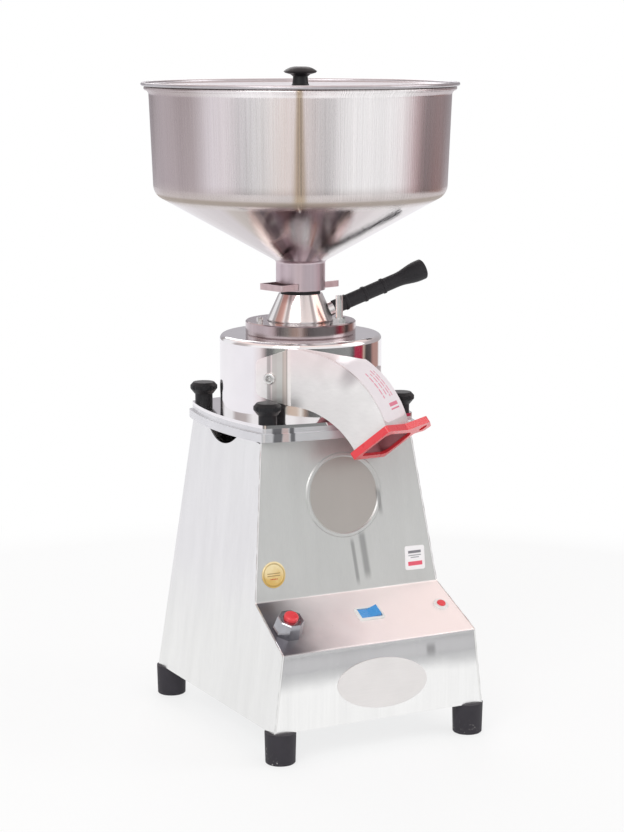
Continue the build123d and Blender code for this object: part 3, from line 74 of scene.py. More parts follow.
# The folded front: upright from the feet to the console, back over it, and up again with a lean
front_low, front_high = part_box("front_panel")
FRONT_Y = front_low.y
FOOT_Z = front_low.z
CASING_TOP_Z = front_high.z
CONSOLE_FRONT_Z = 0.105
CONSOLE_REAR_Z = 0.139
CONSOLE_REAR_Y = AXIS_Y - 0.100
FRONT_TOP_Y = AXIS_Y - 0.076
UPPER_LEAN = atan2(FRONT_TOP_Y - CONSOLE_REAR_Y, CASING_TOP_Z - CONSOLE_REAR_Z)
LOWER_OUT = Vector((0, -1, 0))
UPPER_OUT = Vector((0, -cos(UPPER_LEAN), sin(UPPER_LEAN)))

# The sides lean in to the top
SIDE_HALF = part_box("right_side_panel")[1].x
TOP_HALF = 0.082
SIDE_SLOPE = (SIDE_HALF - TOP_HALF) / (CASING_TOP_Z - FOOT_Z)

# On the front, by X and Z: the disc inside the raised ring, and the seal, the sticker and the plate
BADGE_X = 0.003
BADGE_Z = 0.232
BADGE_DISC = 0.0365
SEAL = (-0.0783, 0.1640)
STICKER = (0.0767, 0.1638)
PLATE = (0.0020, 0.0655)
# How far pieces that lie on the sheet are held off it
CLEAR = 0.00002

# The square flanges: the upper one's top, and how far back the bowed front edge reaches
plate_low, plate_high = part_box("motor_plate")
FLANGE_TOP = plate_high.z + 0.0052
FRONT_EDGE_Y = plate_low.y + 0.0125

# The chute heads out of the round chamber, and its tube bends down round a level line. Its near
# and far sides are measured across its heading, and the rest along it from the spindle's axis
DRUM_RADIUS = 0.080
CHUTE_HEADING = radians(-50)
CHUTE_AHEAD = Vector((cos(CHUTE_HEADING), sin(CHUTE_HEADING), 0))
CHUTE_ACROSS = Vector((-sin(CHUTE_HEADING), cos(CHUTE_HEADING), 0))
CHUTE_NEAR = -0.0783
CHUTE_WIDTH = 0.0586
CHUTE_FAR = CHUTE_NEAR + CHUTE_WIDTH
EAR_FOLD = 0.0192
EAR_SHEET = 0.0015
BEND_AHEAD = 0.025
BEND_Z = 0.275
BEND_RADIUS = 0.100
LABEL_LOW = radians(20.0)
LABEL_HIGH = radians(66.0)

# The hopper: its upright weld, its girth weld, the corner under its wall, and its rim
WELD_TURN = radians(-117.4)
HOPPER_RADIUS = 0.146
HOPPER_CORNER_Z = 0.511
GIRTH_WELD_Z = 0.5165
HOPPER_TOP_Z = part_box("hopper")[1].z


# Materials


class Value:
    """A socket that takes part in Python arithmetic: each operator adds its Math node."""

    def __init__(self, owner, socket):
        self.owner = owner
        self.socket = socket

    def maths(self, operation, *others):
        """Adds the Math node for an operation on this value and others."""
        node = self.owner.tree.nodes.new("ShaderNodeMath")
        node.operation = operation
        for place, item in zip(node.inputs, (self,) + others):
            self.owner.feed(place, item)
        return Value(self.owner, node.outputs[0])

    def __add__(self, other):
        return self.maths("ADD", other)

    def __sub__(self, other):
        return self.maths("SUBTRACT", other)

    def __mul__(self, other):
        return self.maths("MULTIPLY", other)

    def __truediv__(self, other):
        return self.maths("DIVIDE", other)

    def __abs__(self):
        return self.maths("ABSOLUTE")

    __radd__ = __add__
    __rmul__ = __mul__

    def __rsub__(self, other):
        return self.maths("MULTIPLY", -1.0) + other

    def least(self, other):
        return self.maths("MINIMUM", other)

    def most(self, other):
        return self.maths("MAXIMUM", other)

    def sine(self):
        return self.maths("SINE")

    def root(self):
        return self.maths("SQRT")

    def reach(self, other):
        """The length of the diagonal of two distances at right angles."""
        return (self * self + other * other).root()

    def angle(self, other):
        return self.maths("ARCTAN2", other)

    def repeat(self, length):
        return self.maths("FLOORED_MODULO", length)

    def between(self, low, high):
        """0 below low, 1 above high and a smooth step between them."""
        node = self.owner.node(
            "ShaderNodeMapRange",
            {"interpolation_type": "SMOOTHSTEP", "clamp": True},
            Value=self,
            **{"From Min": low, "From Max": high},
        )
        return Value(self.owner, node.outputs[0])

    def band(self, centre, half, soft):
        """1 within half of centre, falling to 0 over soft."""
        return 1 - abs(self - centre).between(half, half + soft)


class Nodes:
    """A node tree in which colours and values are worked out from a set of coordinates."""

    def __init__(self, tree, coordinates):
        self.tree = tree
        self.place = self.node("ShaderNodeTexCoord", {}).outputs[coordinates]

    def feed(self, place, item):
        """Puts a value, another node's output, a colour or a number into an input."""
        if isinstance(item, Value):
            item = item.socket
        if isinstance(item, bpy.types.NodeSocket):
            self.tree.links.new(item, place)
        elif isinstance(item, (tuple, list)) and len(place.default_value) == 4 and len(item) == 3:
            place.default_value = (*item, 1.0)
        else:
            place.default_value = item

    def node(self, kind, settings, **inputs):
        """Adds a node with its settings, a ramp's stops among them, and feeds its inputs."""
        node = self.tree.nodes.new(kind)
        for key, value in settings.items():
            if key == "stops":
                ramp = node.color_ramp
                while len(ramp.elements) < len(value):
                    ramp.elements.new(0.5)
                for element, (position, colour) in zip(ramp.elements, value):
                    element.position = position
                    element.color = (*colour, 1.0)
            else:
                setattr(node, key, value)
        for key, value in inputs.items():
            self.feed(node.inputs[key], value)
        return node

    def axes(self):
        """Object X, Y and Z as values, in metres."""
        split = self.node("ShaderNodeSeparateXYZ", {}, Vector=self.place)
        return tuple(Value(self, socket) for socket in split.outputs)

    def stretched(self, scale):
        """Object coordinates scaled along each axis."""
        return self.node("ShaderNodeMapping", {}, Vector=self.place, Scale=scale).outputs[0]

    def noise(self, scale, detail=3.0, vector=None, roughness=0.5):
        node = self.node(
            "ShaderNodeTexNoise",
            {},
            Vector=vector or self.place,
            Scale=scale,
            Detail=detail,
            Roughness=roughness,
        )
        return Value(self, node.outputs[0])

    def joined(self, x, y, z):
        return self.node("ShaderNodeCombineXYZ", {}, X=x, Y=y, Z=z).outputs[0]

    def ramp(self, along, stops):
        return self.node("ShaderNodeValToRGB", {"stops": stops}, Fac=along).outputs[0]

    def colour(self, value):
        node = self.node("ShaderNodeRGB", {})
        node.outputs[0].default_value = (*value, 1.0)
        return node.outputs[0]

    def blend(self, mask, first, second):
        """Colour first where the mask is 0 and second where it is 1."""
        node = self.node("ShaderNodeMix", {"data_type": "RGBA"})
        self.feed(node.inputs["Factor"], mask)
        for place, item in ((node.inputs[6], first), (node.inputs[7], second)):
            self.feed(place, item)
        return node.outputs[2]

    def shade(self, colour, amount):
        """A colour made darker or lighter by a value round 1."""
        if isinstance(colour, tuple):
            colour = self.colour(colour)
        node = self.node("ShaderNodeVectorMath", {"operation": "SCALE"})
        self.feed(node.inputs[0], colour)
        self.feed(node.inputs["Scale"], amount)
        return node.outputs[0]

    def tinted(self, colour, tint):
        """A colour multiplied by another."""
        node = self.node("ShaderNodeVectorMath", {"operation": "MULTIPLY"})
        self.feed(node.inputs[0], colour)
        self.feed(node.inputs[1], tint)
        return node.outputs[0]

    def bump(self, height, distance, strength=1.0, under=None):
        """A normal that follows a height, on top of the normal under it."""
        inputs = {"Height": height, "Distance": distance, "Strength": strength}
        if under is not None:
            inputs["Normal"] = under
        return self.node("ShaderNodeBump", {}, **inputs).outputs[0]

    def light_path(self, *rays):
        """1 for rays of any kind that is named, and 0 for the others."""
        path = self.node("ShaderNodeLightPath", {})
        any_of_them, *others = [Value(self, path.outputs[ray]) for ray in rays]
        for kind in others:
            any_of_them = any_of_them.most(kind)
        return any_of_them


class Finish(Nodes):
    """One material: a Principled shader and the nodes that feed it."""

    def __init__(self, name, **settings):
        self.material = bpy.data.materials.new(name)
        self.material.use_nodes = True
        super().__init__(self.material.node_tree, "Object")
        self.shader = self.tree.nodes["Principled BSDF"]
        for key, value in settings.items():
            self.set(key, value)

    def set(self, name, item):
        self.feed(self.shader.inputs[name], item)


def buffed(finish):
    """Buffed stainless sheet: polishing lines, streaks, colour, roughness and waves."""
    lines = finish.noise(1.0, 4.0, finish.stretched((900, 900, 14)))
    smears = finish.noise(9.0, 3.0, finish.stretched((1.0, 1.0, 0.35)))
    streaks = finish.noise(1.0, 2.0, finish.stretched((60, 60, 5)))
    tone = 0.93 + (lines - 0.5) * 0.09 + (smears - 0.5) * 0.14 + (streaks - 0.5) * 0.12
    base = finish.shade((0.90, 0.90, 0.895), tone)
    rough = 0.17 + smears * 0.14 + (lines - 0.5) * 0.05
    wave = finish.bump(finish.noise(14.0, 2.0, finish.stretched((1, 1, 0.5))), 0.0030)
    return lines, streaks, base, rough, wave


def close_buffed(finish, lines, base, rough, wave):
    """Feeds a buffed sheet's shader, with its lines and fine pits over its waves."""
    pits = finish.noise(1500.0, 1.0)
    finish.set("Base Color", base)
    finish.set("Roughness", rough)
    finish.set("Normal", finish.bump(lines + pits * 0.2, 0.00004, 1.0, wave))
    return finish.material


def panel_sheet():
    """The casing's plain panels."""
    finish = Finish("polished_sheet", Metallic=1.0)
    lines, _, base, rough, wave = buffed(finish)
    return close_buffed(finish, lines, base, rough, wave)


def front_sheet():
    """The folded front, whose three planes were each buffed and are toned by themselves with painted
    reflections.
    """
    finish = Finish("polished_front")
    x, y, z = finish.axes()
    lines, streaks, base, rough, wave = buffed(finish)
    base = finish.shade(base, 1.10)
    upper = z.between(CONSOLE_REAR_Z - 0.0005, CONSOLE_REAR_Z + 0.0010)
    lower = 1 - z.between(CONSOLE_FRONT_Z - 0.0010, CONSOLE_FRONT_Z + 0.0004)
    console = 1 - upper.most(lower)
    # Noise that makes the edges of the painted reflections below uneven
    reflection_wobble = (finish.noise(26.0, 3.0) - 0.5) * 0.5

    # The sheet rolls back a little under the console's fold
    wave = finish.bump((CONSOLE_FRONT_Z - z).between(0.0, 0.024), 0.0026, 1.0, wave)

    # Brown heat marks along the welded edges
    edge = (SIDE_HALF + FOOT_Z * SIDE_SLOPE) - z * SIDE_SLOPE - abs(x)
    burnt = (1 - edge.between(0.0003, 0.0028)) * (0.25 + streaks * 0.6)
    base = finish.blend(burnt, base, (0.34, 0.30, 0.27))

    # The disc inside the raised ring is duller and browner
    from_badge = (x - BADGE_X).reach(z - BADGE_Z)
    disc = 1 - from_badge.between(BADGE_DISC - 0.0003, BADGE_DISC + 0.0003)
    base = finish.blend(disc * 0.7, base, (0.60, 0.53, 0.49))

    # Painted reflections: the upper front is greyer, the console's left end dark, and the lower front grey at
    # its top
    base = finish.blend(upper, base, finish.tinted(base, (0.62, 0.63, 0.62)))
    left = 1 - ((x + 0.062) / 0.060 + reflection_wobble).between(-0.6, 0.8)
    base = finish.blend(left * console, base, (0.11, 0.105, 0.12))
    drop = ((CONSOLE_FRONT_Z - z) / 0.034 + reflection_wobble * 0.7).between(0.62, 1.15)
    base = finish.blend((1 - drop) * lower, base, finish.tinted(base, (0.62, 0.62, 0.63)))

    # Dark streaks of the chute's mirror image under it, by their middle, half width and height
    for middle, half, low, high in (
        (0.0130, 0.0020, 0.141, 0.192),
        (0.0240, 0.0036, 0.146, 0.198),
        (0.0430, 0.0024, 0.206, 0.238),
        (0.0560, 0.0050, 0.080, 0.100),
    ):
        streak = (x + (z - low) * 0.10).band(middle, half * 0.4, half)
        span = z.between(low, low + 0.012) * (1 - z.between(high - 0.008, high))
        base = finish.blend(streak * span * 0.62, base, (0.20, 0.20, 0.20))

    # A painted pink reflection grows stronger towards the console's right end
    pink_reflection = (x / 0.09 + reflection_wobble).between(-0.9, 0.9)
    pink = finish.blend(pink_reflection, (0.90, 0.84, 0.85), (0.98, 0.87, 0.85))
    base = finish.blend(console * (1 - left) * 0.8, base, pink)
    rough = rough + disc * 0.12 + upper * 0.13 + console * 0.06
    finish.set("Metallic", 1 - console * 0.60 - upper * 0.50)
    return close_buffed(finish, lines, base, rough, wave)


def chromed(name, flanged=False):
    """Bright chrome over turned metal: near mirror, with faint haze."""
    finish = Finish(name, Metallic=1.0)
    haze = finish.noise(30.0, 4.0)
    base = finish.shade((0.90, 0.885, 0.885), 0.92 + haze * 0.14)
    rough = 0.035 + haze * 0.09
    if flanged:
        # The square flanges are only buffed, and carry painted reflections of the knob and chute above them
        # as dark and warm bands
        x, y, z = finish.axes()
        flange = 1 - z.between(FLANGE_TOP - 0.0006, FLANGE_TOP)
        facing_front = (FRONT_EDGE_Y - y).between(-0.004, 0.0)
        drift = (finish.noise(30.0, 2.0) - 0.5) * 0.006
        along = x + drift
        bands = along.band(-0.0690, 0.0032, 0.0030) + along.band(-0.0545, 0.0012, 0.0020)
        warm_reflection = along.band(-0.0610, 0.0018, 0.0025) + along.band(0.0060, 0.0022, 0.0020)
        plain = finish.blend(haze, (0.62, 0.62, 0.64), (0.82, 0.82, 0.84))
        plain = finish.blend(bands.least(1.0) * facing_front * 0.85, plain, (0.10, 0.10, 0.11))
        plain = finish.blend(warm_reflection.least(1.0) * facing_front * 0.6, plain, (0.72, 0.50, 0.46))
        base = finish.blend(flange, base, plain)
        rough = rough + flange * 0.12
        finish.set("Metallic", 1 - flange * 0.55)
    finish.set("Base Color", base)
    finish.set("Roughness", rough)
    finish.set("Normal", finish.bump(finish.noise(40.0, 2.0), 0.00004))
    return finish.material


def chute_axes(finish):
    """How far a point lies along the chute's heading, across it, and up."""
    x, y, z = finish.axes()
    ahead = x * CHUTE_AHEAD.x + (y - AXIS_Y) * CHUTE_AHEAD.y
    across = x * CHUTE_ACROSS.x + (y - AXIS_Y) * CHUTE_ACROSS.y
    return ahead, across, z


def chute_steel():
    """The chute's softly ground stainless sheet, with a painted reflection of the collar's red glow inside
    its mouth.
    """
    finish = Finish("chute_steel")
    ahead, across, z = chute_axes(finish)
    forward = ahead - BEND_AHEAD
    rise = z - BEND_Z
    outward = forward.reach(rise)
    near, far, outer = (
        depth.between(0.0008, 0.0013)
        for depth in (across - CHUTE_NEAR, CHUTE_FAR - across, BEND_RADIUS - outward)
    )
    inside = near * far * outer
    grind = finish.noise(1.0, 5.0, finish.stretched((160, 160, 420)))
    patch = finish.noise(22.0, 3.0)
    tone = 0.96 + (grind - 0.5) * 0.10 + (patch - 0.5) * 0.16
    # Painted reflections: pinkish near the top of the near side, and dark where the bend turns down
    pink_reflection = z.between(0.338, 0.372) * 0.55
    base = finish.blend(pink_reflection, finish.shade((0.97, 0.955, 0.95), tone), (0.97, 0.80, 0.81))
    around = rise.angle(forward)
    drift = (patch - 0.5) * 0.05
    to_outside = (outward + drift * 0.06).between(BEND_RADIUS - 0.0240, BEND_RADIUS - 0.0015)
    dark_bend_reflection = (around + drift).band(0.93, 0.02, 0.11) * to_outside
    base = finish.blend(dark_bend_reflection * 0.55, base, (0.34, 0.30, 0.32))
    # The ear beside the fold is polished, and holds painted reflections as dark and warm upright bands
    ear = 1 - ahead.between(EAR_FOLD - 0.0002, EAR_FOLD + 0.0002)
    for middle, half, colour in (
        (-0.0135, 0.0030, (0.84, 0.72, 0.73)),
        (-0.0180, 0.0012, (0.30, 0.27, 0.27)),
        (-0.0090, 0.0050, (0.50, 0.51, 0.48)),
        (-0.0020, 0.0016, (0.46, 0.38, 0.33)),
    ):
        band = (ahead + drift * 0.02).band(EAR_FOLD + middle, half, 0.0014)
        base = finish.blend(band * ear * 0.62, base, colour)
    # Painted shade darkens the crease of the fold
    fold_shade = ahead.band(EAR_FOLD, 0.0002, 0.0005)
    base = finish.blend(fold_shade * 0.6, base, (0.28, 0.25, 0.24))
    # Painted reflection: the collar's red glow fills the inside of the mouth
    finish.set("Base Color", finish.blend(inside * 0.85, base, (0.46, 0.09, 0.12)))
    finish.set("Metallic", 0.80 - inside * 0.5)
    finish.set("Roughness", 0.27 + patch * 0.16 + inside * 0.3)
    wave = finish.bump(finish.noise(18.0, 2.0), 0.003)
    finish.set("Normal", finish.bump(grind, 0.00006, 1.0, wave))
    return finish.material


# The hopper's wall is brushed, and carries painted reflections in broad lighter and darker fields, by the
# turn from its upright weld
WALL_REFLECTION_FIELDS = (
    (0.00, (0.84, 0.80, 0.80)),
    (0.02, (0.95, 0.93, 0.93)),
    (0.06, (1.00, 1.00, 1.00)),
    (0.11, (1.00, 1.00, 1.00)),
    (0.14, (0.66, 0.60, 0.61)),
    (0.20, (0.48, 0.42, 0.43)),
    (0.27, (0.60, 0.54, 0.55)),
    (0.34, (0.95, 0.93, 0.93)),
    (0.45, (0.90, 0.88, 0.88)),
    (0.50, (0.66, 0.62, 0.62)),
    (0.56, (0.92, 0.90, 0.90)),
    (0.66, (0.95, 0.93, 0.93)),
    (0.74, (0.50, 0.44, 0.45)),
    (0.82, (0.43, 0.37, 0.38)),
    (0.88, (0.53, 0.48, 0.48)),
    (0.905, (0.76, 0.73, 0.74)),
    (0.95, (0.96, 0.95, 0.96)),
    (0.985, (0.92, 0.90, 0.90)),
    (1.00, (0.84, 0.80, 0.80)),
)
# Its floor is polished, and carries painted reflections of what stands round it in narrower fields
FLOOR_REFLECTION_FIELDS = (
    (0.00, (0.50, 0.46, 0.48)),
    (0.012, (0.86, 0.84, 0.85)),
    (0.026, (0.80, 0.78, 0.79)),
    (0.034, (0.36, 0.34, 0.35)),
    (0.048, (0.34, 0.31, 0.32)),
    (0.058, (0.50, 0.44, 0.42)),
    (0.072, (0.66, 0.60, 0.61)),
    (0.130, (0.78, 0.76, 0.77)),
    (0.260, (0.80, 0.78, 0.80)),
    (0.740, (0.64, 0.61, 0.63)),
    (0.900, (0.60, 0.56, 0.58)),
    (0.915, (0.52, 0.47, 0.44)),
    (0.940, (0.46, 0.41, 0.38)),
    (0.947, (0.30, 0.27, 0.27)),
    (0.962, (0.34, 0.31, 0.31)),
    (0.970, (0.70, 0.68, 0.69)),
    (0.984, (0.64, 0.62, 0.63)),
    (0.992, (0.44, 0.40, 0.42)),
    (1.00, (0.50, 0.46, 0.48)),
)


def from_weld(x, y):
    """The share of a turn round the mill's axis from the hopper's upright weld."""
    return (((y - AXIS_Y).angle(x) - WELD_TURN) / (2 * pi)).repeat(1.0)


def brushed(finish, tint):
    """Upright brushing round the mill's axis: its lines, broad streaks and toned colour."""
    x, y, z = finish.axes()
    turn = (y - AXIS_Y).angle(x)
    lines = finish.noise(1.0, 5.0, finish.joined(turn * 230.0, z * 6.0, 0.0))
    streaks = finish.noise(1.0, 2.0, finish.joined(turn * 9.0, z * 1.5, 0.0))
    tone = 0.96 + (lines - 0.5) * 0.24 + (streaks - 0.5) * 0.20
    return lines, streaks, finish.shade(tint, tone)


def brushed_round(name, tint, rough):
    """Satin stainless or turned metal, brushed round the mill's axis."""
    finish = Finish(name, Metallic=1.0)
    lines, _, base = brushed(finish, tint)
    finish.set("Base Color", base)
    finish.set("Roughness", (lines - 0.5) * 0.10 + rough)
    finish.set("Normal", finish.bump(lines, 0.00004))
    return finish.material


def hopper_steel():
    """The hopper's brushed wall over its polished floor, with painted reflections, painted shade at its
    corner and under its rim, and heat tint at its welds.
    """
    finish = Finish("hopper_steel")
    x, y, z = finish.axes()
    lines, streaks, base = brushed(finish, (0.99, 0.965, 0.97))
    around = from_weld(x, y)
    wall = z.between(HOPPER_CORNER_Z - 0.003, HOPPER_CORNER_Z + 0.003)
    reflections_and_shade = finish.blend(wall, finish.ramp(around, FLOOR_REFLECTION_FIELDS), finish.ramp(around, WALL_REFLECTION_FIELDS))
    # Painted shade darkens the corner under the wall, and a painted shadow lies under the rim
    corner = (1 - z.between(HOPPER_CORNER_Z + 0.008, HOPPER_CORNER_Z + 0.024)) * wall
    under_rim_shadow = z.band(HOPPER_TOP_Z + 0.0020, 0.0015, 0.0035)
    reflections_and_shade = finish.blend(corner * 0.85, reflections_and_shade, (0.56, 0.51, 0.49))
    reflections_and_shade = finish.blend(under_rim_shadow * 0.8, reflections_and_shade, (0.52, 0.46, 0.44))
    base = finish.tinted(base, reflections_and_shade)

    # The upright weld's tint spreads downwards, and the girth weld's is a thin band
    aside = abs((y - AXIS_Y).angle(x) - WELD_TURN) * HOPPER_RADIUS
    seam = (1 - aside.between(0.0006, 0.0022)) * wall
    spread = 0.0045 + (HOPPER_TOP_Z - z) * 0.05
    heat = (1 - (aside / spread).between(0.2, 1.0)) * wall * (0.45 + streaks * 0.8)
    girth = z.band(GIRTH_WELD_Z, 0.0010, 0.003)
    base = finish.blend(heat * 0.8, base, (0.42, 0.31, 0.19))
    base = finish.blend(girth * 0.65, base, (0.36, 0.30, 0.24))
    pale = around.band(0.084, 0.030, 0.030) * wall
    rough = 0.27 - (1 - wall) * 0.26 + girth * 0.2
    bead = finish.bump(seam + girth * 0.6, 0.0005)
    finish.set("Base Color", base)
    finish.set("Metallic", 1 - pale * 0.7)
    finish.set("Roughness", (lines - 0.5) * 0.10 + rough)
    finish.set("Normal", finish.bump(lines, 0.00005, 1.0, bead))
    return finish.material


def turned_aluminium(name, warm_reflections=False):
    """Turned and buffed aluminium with fine rings."""
    finish = Finish(name, Metallic=1.0)
    x, y, z = finish.axes()
    rings = ((z * 9000.0) + finish.noise(6.0) * 3.0).sine()
    haze = finish.noise(24.0, 4.0)
    base = finish.shade((0.86, 0.84, 0.83), 0.90 + haze * 0.16)
    if warm_reflections:
        # Painted reflections: warm bands stand beside the bright middle of the cone, edged by dark lines
        around = from_weld(x, y)
        for middle in (0.113, 0.887):
            base = finish.blend(around.band(middle, 0.012, 0.022) * 0.8, base, (0.62, 0.33, 0.27))
        for middle in (0.070, 0.150, 0.850, 0.930):
            base = finish.blend(around.band(middle, 0.003, 0.012) * 0.7, base, (0.30, 0.27, 0.27))
    finish.set("Base Color", base)
    finish.set("Roughness", 0.10 + haze * 0.14)
    finish.set("Normal", finish.bump(rings, 0.00001))
    return finish.material


def rubber(name, colour, rough, grain, dusty=False):
    """Moulded rubber or hard plastic with a fine grain, and with flour dust low down."""
    finish = Finish(name)
    cloud = finish.noise(70.0, 5.0)
    base = finish.shade(colour, 0.8 + cloud * 0.5)
    rough = rough + (cloud - 0.5) * 0.25
    if dusty:
        z = finish.axes()[2]
        specks = finish.noise(420.0, 3.0).between(0.60, 0.66)
        low = 1 - z.between(0.004, 0.022)
        dust = specks * low * finish.noise(60.0, 2.0).between(0.45, 0.62)
        base = finish.blend(dust * 0.8, base, (0.62, 0.60, 0.58))
        rough = rough + dust * 0.2
    finish.set("Base Color", base)
    finish.set("Roughness", rough)
    finish.set("Specular IOR Level", 0.25)
    finish.set("Normal", finish.bump(finish.noise(1400.0, 2.0), grain))
    return finish.material


def plastic(name, colour, rough=0.28, coat=0.3):
    """Glossy moulded plastic."""
    finish = Finish(name)
    cloud = finish.noise(90.0, 3.0)
    finish.set("Base Color", finish.shade(colour, 0.93 + cloud * 0.14))
    finish.set("Roughness", rough + (cloud - 0.5) * 0.12)
    finish.set("Coat Weight", coat)
    finish.set("Normal", finish.bump(finish.noise(300.0, 1.0), 0.000005))
    return finish.material


def plated(name, colour, rough):
    """Zinc plated or ground steel parts."""
    finish = Finish(name, Metallic=1.0)
    spots = finish.noise(160.0, 4.0)
    finish.set("Base Color", finish.shade(colour, 0.8 + spots * 0.4))
    finish.set("Roughness", rough + (spots - 0.5) * 0.2)
    finish.set("Normal", finish.bump(finish.noise(700.0, 3.0), 0.00003))
    return finish.material


def stone():
    """Coarse emery: dark grit with pale and brown grains."""
    finish = Finish("emery_stone")
    grit = finish.noise(900.0, 4.0)
    cells = finish.node("ShaderNodeTexVoronoi", {}, Vector=finish.place, Scale=650.0)
    grains = Value(finish, cells.outputs["Distance"])
    base = finish.blend(grit.between(0.45, 0.65), (0.10, 0.09, 0.085), (0.30, 0.27, 0.24))
    finish.set("Base Color", base)
    finish.set("Roughness", 0.85 + grit * 0.1)
    finish.set("Normal", finish.bump(grit + grains, 0.0004))
    return finish.material


def windings():
    """Varnished copper turns."""
    finish = Finish("copper_windings", Metallic=0.6)
    x, y, z = finish.axes()
    turns = ((y - AXIS_Y).angle(x) * 260.0 + finish.noise(40.0) * 6.0).sine()
    finish.set("Base Color", finish.blend(turns.between(-1, 1), (0.28, 0.10, 0.05), (0.62, 0.27, 0.13)))
    finish.set("Roughness", 0.35 + turns * 0.08)
    finish.set("Normal", finish.bump(turns, 0.0003))
    return finish.material


def laminations():
    """Stacked and varnished core sheets."""
    sheet = 0.0010
    finish = Finish("laminations", Metallic=0.7)
    z = finish.axes()[2]
    sheets = (z * (2 * pi / sheet)).sine()
    finish.set("Base Color", finish.blend(sheets.between(-1, 1), (0.07, 0.06, 0.06), (0.22, 0.21, 0.21)))
    finish.set("Roughness", 0.45 + finish.noise(80.0) * 0.2)
    finish.set("Normal", finish.bump(sheets, 0.0002))
    return finish.material


def front_axes(finish, middle):
    """How far a point lies sideways and upwards from a place on the leaning upper front."""
    x, y, z = finish.axes()
    return x - middle[0], (z - middle[1]) / cos(UPPER_LEAN)


def gilt():
    """Gold foil with a pressed rim, two plain lines and a row of small red dots."""
    spacing = 0.0016
    finish = Finish("gilt_foil", Metallic=0.75)
    sideways, upwards = front_axes(finish, SEAL)
    rim = sideways.reach(upwards).band(0.0107, 0.0004, 0.0004)
    sheen = finish.noise(120.0, 3.0)
    # A painted sheen: the foil is lighter towards the top
    base = finish.blend((upwards * 40.0 + sheen).between(0.1, 1.0), (0.74, 0.50, 0.16), (0.95, 0.82, 0.50))
    base = finish.blend(rim * 0.6, base, (0.50, 0.33, 0.10))
    along = (sideways + spacing / 2).repeat(spacing) - spacing / 2
    dots = 1 - along.reach(upwards + 0.0042).between(0.0005, 0.0007)
    base = finish.blend(dots * (1 - abs(sideways).between(0.0036, 0.0040)), base, (0.55, 0.03, 0.03))
    line = upwards.band(-0.0010, 0.00035, 0.0002) + upwards.band(0.0012, 0.00035, 0.0002)
    line = line * (1 - abs(sideways).between(0.0066, 0.0070))
    base = finish.blend(line * 0.8, base, (0.32, 0.20, 0.08))
    finish.set("Base Color", base)
    finish.set("Roughness", 0.30 + sheen * 0.1)
    finish.set("Normal", finish.bump(rim, 0.0003))
    return finish.material


def sticker_paper():
    """White coated paper with plain grey bars over a red stripe."""
    finish = Finish("sticker_paper", Roughness=0.35)
    sideways, upwards = front_axes(finish, STICKER)
    cloud = finish.noise(200.0, 2.0)
    base = finish.shade((0.93, 0.91, 0.92), 0.97 + cloud * 0.06)
    # Each bar, by its height, half its thickness, half its length and its colour
    for height, half, reach, colour in (
        (0.0058, 0.0012, 0.0070, (0.22, 0.22, 0.24)),
        (0.0024, 0.0004, 0.0070, (0.40, 0.40, 0.42)),
        (0.0004, 0.0004, 0.0046, (0.40, 0.40, 0.42)),
        (-0.0056, 0.0019, 0.0078, (0.80, 0.10, 0.16)),
    ):
        bar = upwards.band(height, half, 0.0003) * (1 - abs(sideways).between(reach, reach + 0.0003))
        base = finish.blend(bar, base, colour)
    finish.set("Base Color", base)
    finish.set("Coat Weight", 0.25)
    finish.set("Normal", finish.bump(cloud, 0.00002))
    return finish.material


def chute_paper():
    """The chute's white label: rows of plain pink dashes, and two bars across its end."""
    finish = Finish("chute_paper", Roughness=0.33)
    ahead, across, z = chute_axes(finish)
    along = ((z - BEND_Z).angle(ahead - BEND_AHEAD) - LABEL_LOW) * BEND_RADIUS
    across = across - CHUTE_NEAR
    cloud = finish.noise(160.0, 2.0)
    base = finish.shade((0.97, 0.90, 0.93), 0.97 + cloud * 0.06)
    # Each row, by its middle across the label, its two ends along it and half its thickness
    for middle, start, end, half in (
        (0.0250, 0.022, 0.052, 0.0011),
        (0.0335, 0.024, 0.050, 0.0009),
        (0.0400, 0.022, 0.054, 0.0009),
        (0.0455, 0.022, 0.052, 0.0007),
    ):
        dashes = (along + middle).repeat(0.0072).between(0.0010, 0.0014)
        bar = across.band(middle, half, 0.0004) * along.between(start, start + 0.0006)
        bar = bar * (1 - along.between(end, end + 0.0006)) * dashes
        base = finish.blend(bar * 0.8, base, (0.86, 0.16, 0.30))
    block = along.band(0.0145, 0.0016, 0.0004) * across.band(0.0380, 0.0100, 0.0004)
    thin = along.band(0.0100, 0.0006, 0.0003) * across.band(0.0380, 0.0100, 0.0004)
    base = finish.blend((block + thin).least(1.0) * 0.85, base, (0.82, 0.08, 0.20))
    finish.set("Base Color", base)
    finish.set("Coat Weight", 0.35)
    finish.set("Normal", finish.bump(cloud, 0.00003))
    return finish.material


def plate_satin():
    """The oval plate's plain satin face with a fine level grain."""
    finish = Finish("plate_satin", Metallic=0.85)
    grain = finish.noise(1.0, 4.0, finish.stretched((40, 400, 2400)))
    cloud = finish.noise(40.0, 3.0)
    tone = 0.92 + (grain - 0.5) * 0.10 + cloud * 0.10
    finish.set("Base Color", finish.shade((0.82, 0.795, 0.785), tone))
    finish.set("Roughness", 0.36 + (grain - 0.5) * 0.1)
    finish.set("Normal", finish.bump(grain, 0.00003))
    return finish.material


